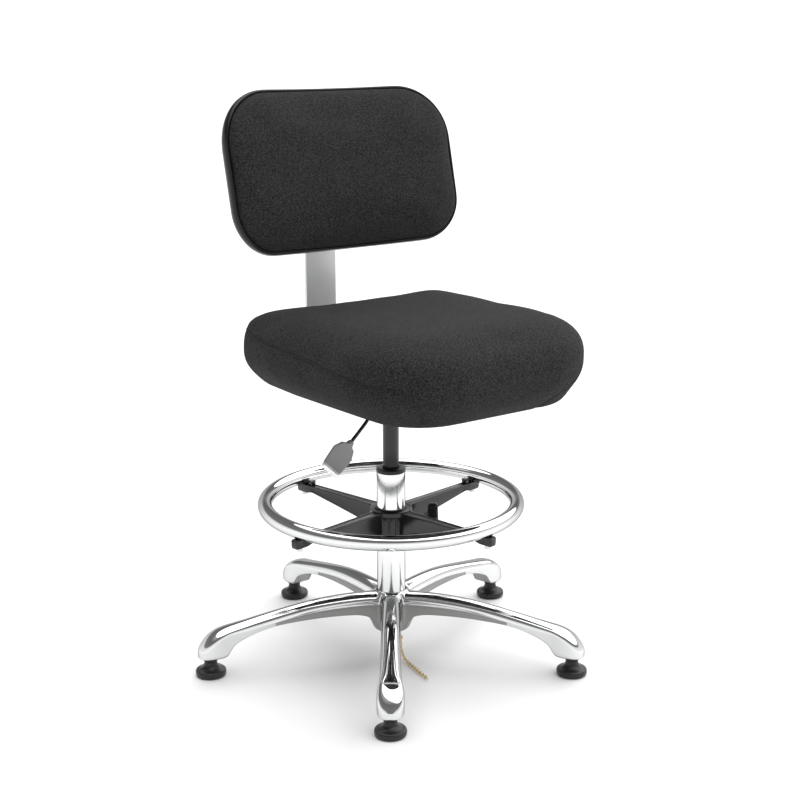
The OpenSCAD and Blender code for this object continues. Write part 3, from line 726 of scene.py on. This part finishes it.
def puffed(made, voxel, pressure, cap, held, even=40, settling=2):
    """Fills a cushion with air: remeshes it, swells it as cloth and limits how far any point moves."""
    add_change(made, "REMESH", mode="VOXEL", voxel_size=voxel)
    bake(made)
    add_change(made, "SMOOTH", factor=0.5, iterations=settling)
    bake(made)
    rest = np.array([v.co for v in made.data.vertices])
    pins = made.vertex_groups.new(name="held")
    pins.add([i for i, p in enumerate(rest) if held(p)], 1.0, "REPLACE")
    cloth = add_change(made, "CLOTH")
    for name, value in CLOTH.items():
        setattr(cloth.settings, name, value)
    cloth.settings.uniform_pressure_force = pressure
    cloth.settings.vertex_group_mass = "held"
    cloth.settings.effector_weights.gravity = 0
    cloth.point_cache.frame_start = 1
    cloth.point_cache.frame_end = SIM_STEPS
    for step in range(1, SIM_STEPS + 1):
        scene.frame_set(step)
    bake(made)
    swollen = np.array([v.co for v in made.data.vertices])
    travel = swollen - rest
    length = np.maximum(np.linalg.norm(travel, axis=1), 1e-9)
    travel = travel * (np.minimum(length, cap) / length)[:, None]
    swollen = rest + evened(made.data, travel, even)
    made.data.vertices.foreach_set("co", swollen.astype(np.float32).ravel())
    made.data.update()
    made.vertex_groups.clear()
    scene.frame_set(1)
    add_change(made, "SMOOTH", factor=0.5, iterations=settling)
    bake(made)
    subdivide(made, 1)
    return made


def seam(name, made, route, body, finish_of, slot, pull=0.0016, reach=0.006, lip=0.0013):
    """Draws a cushion in along a seam, then lays the seam's two rolled edges on it."""
    surface = BVHTree.FromPolygons([v.co for v in made.data.vertices],
                                   [p.vertices for p in made.data.polygons])
    line = []
    for p in smooth_path([Vector(p) * MM for p in route], 12):
        place, normal, _, _ = surface.find_nearest(p)
        line.append((place, normal))
    finder = kdtree.KDTree(len(line))
    for i, (place, normal) in enumerate(line):
        finder.insert(place, i)
    finder.balance()
    work = bmesh.new()
    work.from_mesh(made.data)
    for v in work.verts:
        _, _, gap = finder.find(v.co)
        if gap < reach * 2.5:
            v.co -= v.normal * pull * math.exp(-(gap / reach) ** 2)
    work.to_mesh(made.data)
    work.free()
    parts = []
    for side_of in (-1, 1):
        centre = []
        for i, (place, normal) in enumerate(line):
            ahead = (line[min(i + 1, len(line) - 1)][0] - line[max(i - 1, 0)][0]).normalized()
            side = ahead.cross(normal).normalized()
            centre.append(place + side * side_of * lip * 0.85 - normal * (pull + lip * 0.25))
        parts.append(tube([tuple(p) for p in centre], lip, 8))
    return piece(name, *gathered(parts), finish_of, body, slot=slot, scale=1.0)


# Seat profile from the middle of its underside to the middle of its top: height, then how far
# its sides, front and rear are drawn in, how much narrower it is behind, front and rear radius
SEAT_PROFILE = [
    (-0.4, 165, 160, 140, 0, 12, 12), (-0.4, 110, 100, 72, 4, 44, 20), (-0.4, 72, 56, 32, 4, 68, 28),
    (-0.2, 61, 45, 20, 4, 79, 32), (1.6, 56, 40.6, 16, 4, 85, 33), (6, 49.6, 34.6, 12, 4, 93, 34),
    (12, 41, 28, 8.4, 4, 102, 35), (20, 31.6, 21, 5.4, 5, 115, 36), (30, 20.4, 12.6, 3, 7, 127, 36),
    (40, 11.4, 6.6, 1.6, 9, 136, 36), (50, 5.4, 2.8, 0.6, 11, 143, 36), (60, 1.4, 0.6, 0, 13, 148, 36),
    (70, 0, 0, 0, 14, 150, 36), (80, 0, 0.6, 0, 14, 150, 36), (90, 0.6, 2, 0.4, 14, 150, 36),
    (99, 2.2, 5.4, 1.6, 13, 149, 35), (107, 5.2, 10.6, 4.4, 12, 147, 34),
    (113.6, 9.4, 17.6, 8.4, 11, 143, 33),
    (119, 15, 27, 14, 10, 137, 31), (123.2, 22.6, 38, 22, 10, 130, 29), (126.6, 33, 51, 33, 10, 118, 26),
    (129, 50, 68, 50, 10, 100, 22), (131, 78, 94, 80, 10, 74, 17), (132.4, 118, 128, 120, 8, 50, 12),
    (133, 165, 168, 165, 3, 20, 8), (133, 194, 188, 188, 2, 12, 8),
]


def seat_rows(shrink):
    """The rings of the seat pad, drawn in a little for the swelling to come."""
    rows = []
    for height, side, ahead, behind, taper, front_r, rear_r in SEAT_PROFILE:
        less = shrink if height > 6 else 0.8
        half = SEAT_W / 2 - side - less
        front = -SEAT_D / 2 + ahead + less - SEAT_FORWARD
        rear = SEAT_D / 2 - behind - less - SEAT_FORWARD
        middle = front + 0.72 * (rear - front)
        bow_r = front_r
        bow = half - 0.16 * taper + 1.5 - bow_r
        ring = rounded_outline([
            (half - front_r, front + front_r, front_r), (bow, middle, bow_r),
            (half - taper - rear_r, rear - rear_r, rear_r), (taper + rear_r - half, rear - rear_r, rear_r),
            (-bow, middle, bow_r), (front_r - half, front + front_r, front_r),
        ])
        rows.append([(x, y, SEAT_Z + height - less * max(0, height) / SEAT_T) for x, y in ring])
    return rows


seat = piece("seat_pad", *closed_loft(seat_rows(2.5)), FABRIC, "seat", ["seat_cushion"], "black_fabric")
puffed(seat, 0.005, 4.0, 0.006, lambda p: p[2] < (SEAT_Z + 9) * MM)

LEFT_SEAM = [
    (-60, 148, 592), (-150, 146, 592), (-205, 138, 591), (-226, 112, 589), (-231, 50, 582), (-234, -40, 576),
    (-234, -110, 572), (-232, -180, 564), (-222, -234, 557), (-206, -268, 554), (-192, -290, 546),
    (-180, -300, 532), (-168, -300, 515), (-156, -292, 499), (-150, -278, 489),
]
RIGHT_SEAM = [
    (-60, 148, 592), (60, 148, 592), (150, 146, 592), (205, 138, 591), (226, 112, 589), (231, 50, 582),
    (234, -40, 577), (234, -120, 574), (229, -190, 573), (215, -232, 570), (196, -258, 563),
    (174, -276, 552), (146, -290, 537), (116, -298, 519), (90, -296, 502), (78, -282, 490),
]
seam("seat_seam_right_side", seat, LEFT_SEAM, "seat", FABRIC, "black_fabric")
seam("seat_seam_left_side", seat, RIGHT_SEAM, "seat", FABRIC, "black_fabric")

# ---------- backrest ----------

BACK_PLACE = Matrix.Translation((0, BACK_Y, BACK_Z)) @ Matrix.Rotation(math.radians(-BACK_LEAN), 4, "X")


def back_point(u, v, depth, follow=1.0):
    """A point of the backrest: across, up, and how far behind its board's front, on the board's curve."""
    sag = BACK_CURVE - math.sqrt(BACK_CURVE ** 2 - u * u)
    return tuple(BACK_PLACE @ Vector((u, depth - sag * follow, v)))


def back_ring(inset, depth, follow=1.0):
    """The backrest's outline drawn in by an inset, at a depth."""
    half_w = BACK_W / 2 - inset
    half_h = BACK_H / 2 - inset
    top = max(BACK_CORNER - inset, half_h * 0.5)
    low = max(BACK_LOW_CORNER - inset, half_h * 0.5)
    shape = rounded_outline([
        (half_w - low, low - half_h, low), (half_w - top, half_h - top, top),
        (top - half_w, half_h - top, top), (low - half_w, low - half_h, low),
    ])
    return [back_point(u, v, depth, follow) for u, v in shape]


# Cushion: inset, depth, and how closely that depth follows the curve
BACK_PROFILE = [
    (130, 1, 1), (60, 1, 1), (16, 1, 1), (7, 0.5, 1), (4.6, -0.5, 1), (3.8, -3, 1), (4.4, -7, 0.96),
    (6, -12, 0.86), (8.6, -17, 0.72), (12, -21.5, 0.58), (17, -26, 0.44), (23.5, -30, 0.32),
    (32, -33.5, 0.24), (44, -36, 0.18), (60, -37.6, 0.14), (85, -38.6, 0.12), (115, -39, 0.12),
    (130, -39, 0.12),
]
back_pad = piece(
    "back_pad", *closed_loft([back_ring(i, d, f) for i, d, f in BACK_PROFILE]),
    FABRIC, "backrest", ["back_cushion"], "black_fabric",
)
back_plane = BACK_PLACE.inverted()
puffed(back_pad, 0.004, 4.0, 0.005, lambda p: (back_plane @ (Vector(p) / MM)).y > -16)

# Edge trim: a glossy lip round the board, swept along the outline
TRIM_PROFILE = [
    (13, -0.7), (7, -1.4), (5.2, -4.4), (3.4, -6), (1.4, -5.6), (0.3, -3.8), (-0.5, -1), (-0.9, 3), (-0.7, 7),
    (0.2, 10.6), (2.2, 12.6), (5.2, 12.4), (6.4, 8), (6.4, 0.2), (13, -0.2),
]
trim_rows = [back_ring(i, d) for i, d in TRIM_PROFILE]
trim = piece("back_edge_trim", [v for row in trim_rows for v in row], loop_rows(trim_rows, True), GLOSSY,
             "backrest", ["back_trim"], "gloss_trim")
subdivide(trim, 1)

# Moulded rear shell: its rim tucks under the trim and its back is gently domed
SHELL_PROFILE = [
    (130, 10.5), (7, 10.5), (5, 11), (4, 13.5), (4.2, 17.4), (6.4, 20.6), (12, 22.6), (24, 23.7),
] + [(inset, 24) for inset in range(36, 133, 8)]
shell = piece("back_shell_moulded", *closed_loft([back_ring(i, d) for i, d in SHELL_PROFILE]), SHELL,
              "backrest", ["back_shell"], "black_moulding")
subdivide(shell, 1)

# ---------- back bar and its clamp ----------


def bent_bar(half_w, thick, line, bevel):
    """A flat bar swept along a side view of (y, z) points, with its four long edges rounded."""
    section = [
        (-half_w + bevel, 0), (-half_w + bevel * 0.3, bevel * 0.3), (-half_w, bevel),
        (-half_w, thick - bevel),
        (-half_w + bevel * 0.3, thick - bevel * 0.3), (-half_w + bevel, thick),
        (half_w - bevel, thick), (half_w - bevel * 0.3, thick - bevel * 0.3), (half_w, thick - bevel),
        (half_w, bevel), (half_w - bevel * 0.3, bevel * 0.3), (half_w - bevel, 0),
    ]
    rows = []
    for i, (y, z) in enumerate(line):
        before = line[max(i - 1, 0)]
        after = line[min(i + 1, len(line) - 1)]
        along = Vector((after[0] - before[0], after[1] - before[1])).normalized()
        outward = (along[1], -along[0])
        rows.append([(x, y + outward[0] * t, z + outward[1] * t) for x, t in section])
    return closed_loft(rows)


leg_top = SEAT_Z - 4 - 0.65
bend_r = 15
bar_line = [(66.6, leg_top), (67.6, leg_top), (120, leg_top), (160, leg_top)]
bend_y = BAR_Y - bend_r
bend_z = leg_top + bend_r
for k in range(0, 13):
    a = math.radians(-90 + 90 * k / 12)
    bar_line.append((bend_y + bend_r * math.cos(a), bend_z + bend_r * math.sin(a)))
for z in (560, 640, 720, 800, 860, BAR_TOP - 3, BAR_TOP - 0.8):
    bar_line.append((BAR_Y, z))
bar = piece("back_bar_plated", *bent_bar(BAR_W / 2, BAR_T, bar_line, 1.4), NICKEL, "back_arm",
            ["back_bar"], "chrome")
shade(bar, 40)


# ---------- turned parts: glides, column, foot ring ----------


def rounded(points, radius, steps=3, closed=False):
    """The same line with each of its corners eased by a short curve."""
    out = []
    count = len(points)
    for i in range(count):
        here = Vector(points[i])
        if not closed and i in (0, count - 1):
            out.append(tuple(here))
            continue
        before = Vector(points[i - 1])
        after = Vector(points[(i + 1) % count])
        start = here + (before - here).normalized() * min(radius, (before - here).length * 0.45)
        end = here + (after - here).normalized() * min(radius, (after - here).length * 0.45)
        for s in range(steps + 1):
            t = s / steps
            out.append(tuple(start * (1 - t) ** 2 + here * (2 * t * (1 - t)) + end * t * t))
    return out


def lathe(name, profile, finish_of, body, stands_for=(), slot=None, place=None, steps=96, ease=0.6,
          crisp=32):
    """A turned piece. A profile that ends where it starts makes a ring, eased at every corner."""
    if profile[0] == profile[-1]:
        line = rounded(profile[:-1], ease, closed=True)
        line.append(line[0])
    else:
        line = rounded(profile, ease)
    verts, faces = turned(line, steps)
    if place is not None:
        verts = moved(verts, place)
    return shade(piece(name, verts, faces, finish_of, body, stands_for, slot), crisp)


GLIDE_PROFILE = [
    (0, 0), (22.6, 0), (25.4, 1.8), (26, 4.4), (26, 8.6), (24.8, 10.8), (22, 12), (18.6, 12.8), (15.2, 14.8),
    (12.2, 18.4), (11, 22.6), (10.6, 26.6), (12.2, 27.4), (12.8, 28.6), (12.8, 32.6), (12.2, 34), (5.6, 34),
    (5.6, 15), (0, 15),
]
for leg in range(5):
    spin = Matrix.Rotation(math.radians(BASE_TURN + 72 * leg), 4, "Z")
    spot = spin @ Matrix.Translation((GLIDE_RING, 0, 0))
    lathe("glide_foot_%d" % (leg + 1), GLIDE_PROFILE, MOULDED, "base", ["glide_%d" % (leg + 1)],
          "black_moulding", spot, 64, 0.7)

lathe("column_tube", [
    (21.5, SLEEVE_FOOT), (23.4, SLEEVE_FOOT), (SLEEVE_R, 118), (SLEEVE_R, SLEEVE_TOP), (21.5, SLEEVE_TOP),
    (21.5, SLEEVE_FOOT),
], TUBING, "base", ["column_sleeve"], "chrome", steps=160)

lathe("column_top_bush", [
    (14.05, SLEEVE_TOP - 80), (21.5, SLEEVE_TOP - 80), (21.5, SLEEVE_TOP), (24.2, SLEEVE_TOP),
    (25.6, SLEEVE_TOP + 0.9), (25.6, SLEEVE_TOP + 5.6), (24.4, SLEEVE_TOP + 7), (22.6, SLEEVE_TOP + 7),
    (21.6, SLEEVE_TOP + 7.8), (16.8, SLEEVE_TOP + 7.8), (14.05, SLEEVE_TOP + 6), (14.05, SLEEVE_TOP - 80),
], MOULDED, "base", ["column_bush"], "black_moulding")

lathe("gas_tube", [
    (12.5, 100.5), (GAS_R, 100.5), (GAS_R, 435), (13.1, 468.5), (4.05, 468.5), (4.05, 450.5), (12.5, 450.5),
    (12.5, 100.5),
], POWDER, "seat", ["gas_cylinder"], "black_steel", ease=0.8)

lathe("taper_collar", [
    (GAS_R, 435), (19, 435), (19, 468.5), (13.1, 468.5), (GAS_R, 435),
], POWDER, "seat", ["taper_socket"], "black_steel")

lathe("ring_guide_sleeve", [
    (25.05, 215), (31, 215), (31, 218.9), (27.5, 218.9), (27.5, 269), (25.05, 269), (25.05, 215),
], MOULDED, "ring_slide", ["ring_liner"], "black_moulding", ease=0.5)

ring_rows = []
for k in range(240):
    a = TURN * k / 240
    row = []
    for j in range(36):
        b = TURN * j / 36
        out = RING_R + RING_TUBE_R * math.cos(b)
        row.append((*on_circle(out, a), RING_Z + RING_TUBE_R * math.sin(b)))
    ring_rows.append(row)
piece("foot_ring_tube", [v for row in ring_rows for v in row], loop_rows(ring_rows, True), CHROME,
      "foot_ring", ["foot_ring"], "chrome")

# ---------- the spider that carries the foot ring ----------

# Hub profile: radius and height; hub_of_spider ribs its side
HUB_PROFILE = [
    (27.55, 219), (33.4, 219), (34.6, 219.8), (34.8, 222.6), (33.6, 224.2), (32, 224.8), (31.6, 226),
    (31.6, 250),
    (32.2, 253), (34.2, 256.4), (36.6, 258.6), (37, 259.6), (37, 266.2), (36.2, 267), (34.2, 267),
    (33.4, 266),
    (30.2, 266), (29.4, 267), (27.55, 267), (27.55, 219),
]
RIBS = 16


def hub_of_spider():
    """The hub, its waist ribbed upright all round."""
    line = rounded(HUB_PROFILE[:-1], 0.5, 2, closed=True)
    rows = []
    for r, z in line:
        row = []
        for k in range(RIBS * 12):
            a = TURN * k / (RIBS * 12)
            rib = 1.9 if 31 < r < 33 and 225 < z < 256 and k % 12 in (0, 1, 2) else 0.0
            row.append((*on_circle(r + rib, a), z))
        rows.append(row)
    return [v for row in rows for v in row], loop_rows(rows, True)


# Spoke stations: distance out, half width, underside
SPOKE_STATIONS = [
    (29, 11.4, 222), (34, 11, 222.6), (45, 10.6, 226), (60, 10.1, 231), (90, 9.4, 236), (120, 8.8, 241),
    (150, 8.3, 245.8), (180, 7.9, 250.6), (194, 7.7, 252.6), (200, 7.8, 251), (205, 8, 250), (217, 8, 250),
    (226, 8, 250), (229, 7.2, 250.6), (230, 6, 251.6),
]


def spoke_section(x, half, under):
    """A closed ring across a spoke: a channelled top rail, a recessed web and a bead along the bottom."""
    top = SPOKE_TOP - (0 if x < 228 else (x - 228) * 0.9)
    tip = x > 197
    web = half - (0.3 if tip else 2.2)
    dip = 0.1 if tip or x < 36 else 1.1
    side = [
        (half - 3.4, top - dip), (half - 2.6, top), (half - 0.8, top), (half, top - 0.8), (half, top - 3),
        (web, top - 4.2), (web, under + 3.6), (half - 0.9, under + 2.8), (half - 0.9, under + 0.9),
        (half - 1.9, under),
    ]
    ring = [(x, y, z) for y, z in side]
    ring += [(x, -y, z) for y, z in reversed(side)]
    return ring


def cradle():
    """The post at a spoke's end that holds the ring from inside."""
    rows = []
    for z, grow in ((264, 0), (269.6, 0), (270.2, 0.9), (272.6, 0.9), (273.4, 0.2)):
        rows.append([(197.6 + x * (1 + grow * 0.08), y * (1 + grow * 0.1), z)
                     for x, y in rounded_rect(10.4, 10.4, 2.4, 5)])
    return closed_loft(rows)


parts = [hub_of_spider()]
for k in range(4):
    spin = Matrix.Rotation(math.radians(SPOKE_TURN + 90 * k), 4, "Z")
    for verts, faces in (closed_loft([spoke_section(*s) for s in SPOKE_STATIONS]), cradle()):
        parts.append((moved(verts, spin), faces))
KNOB_TURN = Matrix.Rotation(math.radians(SPOKE_TURN - 45), 4, "Z")
AIM_OUT = KNOB_TURN @ Matrix.Translation((0, 0, 244)) @ Matrix.Rotation(math.pi / 2, 4, "Y")
BOSS_PROFILE = [(4.05, 31), (9.4, 31), (9.4, 44.4), (8.4, 46), (4.05, 46)]
verts, faces = turned(rounded(BOSS_PROFILE, 0.8, 3, True), 48)
last = len(verts) - 48
faces += [(last + k, last + (k + 1) % 48, (k + 1) % 48, k) for k in range(48)]
parts.append((moved(verts, AIM_OUT), faces))
spider = piece("foot_ring_spider", *gathered(parts), POWDER, "foot_ring", ["ring_spider"], "black_steel")
round_edges(spider, 0.0005, 2, 28)

# ---------- clamp knobs ----------


def knob_outline(r, lobes, steps=180):
    """Plan of a lobed knob: round lobes on a core, with the valleys between them filled in."""
    radii = []
    for k in range(steps):
        a = math.remainder(TURN * k / steps, TURN / lobes)
        reach = 0.28 ** 2 - (0.72 * math.sin(a)) ** 2
        radii.append(max(0.72, 0.72 * math.cos(a) + math.sqrt(reach) if reach > 0 else 0.72))
    for _ in range(10):
        radii = [(radii[k - 1] + 2 * radii[k] + radii[(k + 1) % steps]) / 4 for k in range(steps)]
    return [on_circle(r * m, TURN * k / steps) for k, m in enumerate(radii)]


def knob(name, r, thick, lobes, place, body, stands_for, stem=None):
    """A moulded knob with a dished face, its axis along +Z of its place."""
    plan = knob_outline(r, lobes)
    rows = []
    for size, z in ((0.3, 0), (0.86, 0), (0.93, 0.6), (0.97, 2), (1, 5), (1, thick - 4), (0.985, thick - 2),
                    (0.94, thick - 0.6), (0.88, thick), (0.6, thick - 0.3), (0.5, thick - 1),
                    (0.42, thick - 1.6),
                    (0.2, thick - 1.6)):
        rows.append([(x * size, y * size, z) for x, y in plan])
    parts = [closed_loft(rows)]
    if stem:
        length, radius = stem
        line = [
            (radius + 0.8, 0.4), (radius, -2), (radius, 0.6 - length), (radius - 0.8, -length),
            (4.05, -length),
        ]
        tube_of = turned(rounded(line, 0.6), 40)
        parts.append(tube_of)
    verts, faces = gathered(parts)
    made = piece(name, moved(verts, place), faces, MOULDED, body, stands_for, "black_moulding")
    return shade(made, 35)


knob("ring_clamp_knob", 30, 17, 4, AIM_OUT @ Matrix.Translation((0, 0, 64)), "ring_clamp", ["ring_knob"],
     (13, 9))
knob("back_height_knob", 22, 22, 5,
     Matrix.Translation((0, BAR_Y + BAR_T + 8.5, 806)) @ Matrix.Rotation(-math.pi / 2, 4, "X"),
     "back_clamp", ["back_knob"])
leg_z = SEAT_Z - 4 - BAR_T - 0.65
knob("back_depth_knob", 22, 20, 5, Matrix.Translation((0, 96, leg_z - 14)) @ Matrix.Rotation(math.pi, 4, "X"),
     "depth_clamp", ["depth_knob"])

# ---------- release lever ----------

ROD_BENDS = [
    (9, 0, LEVER_Z), (-44, 0, LEVER_Z), (-90, -60, LEVER_Z - 26), (-133, -60, LEVER_Z - 66),
]
rod_line = [tuple(p) for p in rounded(ROD_BENDS, 11, 8)]
fulcrum = Matrix.Translation((-25, 0, LEVER_Z)) @ Matrix.Rotation(math.pi / 2, 4, "X")
eye = turned([(3.05, -7), (5.2, -7), (5.6, -6.4), (5.6, 6.4), (5.2, 7), (3.05, 7), (3.05, -7)], 40)
rod = piece("lever_bent_rod", *gathered([tube(rod_line, 3, 20), (moved(eye[0], fulcrum), eye[1])]), POWDER,
            "lever", ["lever_rod"], "black_steel")
shade(rod, 40)

# Paddle stations along the rod: distance, half width, half thickness, how square the section is
PADDLE_STATIONS = [
    (-12.6, 3.6, 3.6, 2), (-12, 5, 5, 2), (-10, 5.6, 5.6, 2), (-6, 6.4, 5.6, 2.2), (-3.4, 9.6, 4.6, 3),
    (-2, 13, 3.4, 5), (6, 17, 2.6, 7), (12, 20, 2.3, 9), (13, 20, 2.2, 9), (28, 19, 2.1, 9),
    (43, 17.8, 2.1, 9),
    (44.2, 17.7, 2.5, 8), (45, 17.6, 4.3, 7), (46.4, 17.4, 4.9, 7), (48.6, 17, 4.9, 7), (50.4, 16.4, 4.2, 7),
    (51, 15.6, 3.2, 7),
]
LIP_START = 10
PADDLE_PLACE = (Matrix.Translation(ROD_BENDS[3]) @ Matrix.Rotation(math.radians(137), 4, "Y")
                @ Matrix.Rotation(math.radians(15), 4, "X"))
paddle_rows = []
for x, half, thick, power in PADDLE_STATIONS:
    row = []
    for k in range(48):
        a = TURN * k / 48
        c = math.cos(a)
        s = math.sin(a)
        row.append((x, thick * math.copysign(abs(s) ** (2 / power), s),
                    half * math.copysign(abs(c) ** (2 / power), c)))
    paddle_rows.append(row)
verts, faces = closed_loft(paddle_rows)
# Faces from LIP_START on take the lip finish: glossier metal, with a painted highlight in its lighter colour
lip_highlight_picks = [1 if i >= LIP_START * 48 else 0 for i in range(len(faces))]
paddle = piece("lever_finger_paddle", moved(verts, PADDLE_PLACE), faces, [SILVER, LIP_PAINTED_HIGHLIGHT], "lever",
               ["lever_paddle"], "silver_paddle", picks=lip_highlight_picks)
shade(paddle, 28)

# ---------- seat underside: staples through the dust cover ----------

staples = []
edge = SEAT_Z - 1.05
border = [(-159, -204), (-141, -241), (-104, -259), (104, -259), (141, -241), (159, -204), (145, 72),
          (108, 107), (-108, 107), (-145, 72)]
for i, p in enumerate(border):
    begin = Vector(p)
    end = Vector(border[(i + 1) % len(border)])
    count = max(1, round((end - begin).length / 27))
    along = (end - begin).normalized()
    for k in range(count):
        middle = begin.lerp(end, (k + 0.5) / count)
        heel = middle - along * 5
        toe = middle + along * 5
        staples.append(tube([(heel.x, heel.y, edge + 2), (heel.x, heel.y, edge), (toe.x, toe.y, edge),
                             (toe.x, toe.y, edge + 2)], 0.55, 6, (along.y, -along.x, 0)))
piece("dust_cover_staples", *gathered(staples), ZINC, "seat", slot="bright_steel")

# ---------- pressed and welded steel: eased edges on the CAD parts that stay ----------

for name, width in (
    ("mechanism_housing", 1.2), ("bar_guide", 1.0), ("bar_clamp", 1.4), ("back_bracket", 1.0),
    ("seat_bolts", 0.5), ("back_bolts", 0.6), ("ring_bolts", 0.6), ("pivot_clips", 0.3), ("lever_pin", 0.4),
    ("back_pivot_pin", 0.5), ("chain_eyelet", 0.25), ("chain_screw", 0.4), ("depth_screw", 0.5),
    ("back_screw", 0.5), ("ring_screw", 0.5), ("glide_stems", 0.5), ("seat_board", 1.0), ("back_board", 1.0),
):
    add_change(nodes_of_cad[name], "BEVEL", width=width * MM, segments=2, limit_method="ANGLE",
               angle_limit=math.radians(32))

# ---------- stage and light ----------

floor_mesh = bpy.data.meshes.new("floor")
reach = 150.0
floor_mesh.from_pydata([(-reach, -reach, 0), (reach, -reach, 0), (reach, reach, 0), (-reach, reach, 0)],
                       [], [(0, 1, 2, 3)])
floor_mesh.materials.append(finish("pale_floor", (0.8, 0.8, 0.8), 0.6, shade=0.004, grain=300.0,
                                   grain_depth=0.00001, cloud=4.0))
floor = bpy.data.objects.new("floor", floor_mesh)
scene.collection.objects.link(floor)
floor.location.z = -0.0004

# Studio: white walls and floor, a dim ceiling, and one very broad light high on the right
world = bpy.data.worlds.new("studio")
world.use_nodes = True
sky = world.node_tree
direction = sky.nodes.new("ShaderNodeTexCoord")
split = sky.nodes.new("ShaderNodeSeparateXYZ")
sky.links.new(direction.outputs["Generated"], split.inputs["Vector"])
level = spread_node(sky, split.outputs["Z"], 0.0, 1.0, -1.0, 1.0)
ramp = sky.nodes.new("ShaderNodeValToRGB")
sky.links.new(level.outputs["Result"], ramp.inputs["Fac"])
stops = ramp.color_ramp.elements
SKY_LEVELS = ((0.0, 0.9), (0.5, 1.0), (0.6, 1.0), (0.66, 0.22), (0.84, 0.16), (0.93, 0.5), (1.0, 0.7))
for place, bright in SKY_LEVELS:
    if place in (0.0, 1.0):
        stop = stops[0] if place == 0.0 else stops[len(stops) - 1]
    else:
        stop = stops.new(place)
    stop.color = (bright, bright, bright, 1)
sky.links.new(ramp.outputs["Color"], sky.nodes["Background"].inputs["Color"])
sky.nodes["Background"].inputs["Strength"].default_value = 1.04
scene.world = world

sun = bpy.data.lights.new("broad_light", "SUN")
sun.energy = 4.5
sun.angle = math.radians(100)
sun_object = bpy.data.objects.new("broad_light", sun)
scene.collection.objects.link(sun_object)
sun_object.rotation_mode = "QUATERNION"
sun_object.rotation_quaternion = Vector((-0.36, 0.02, -0.93)).to_track_quat("-Z", "Y")

scene.view_settings.view_transform = "Standard"
scene.view_settings.look = "None"
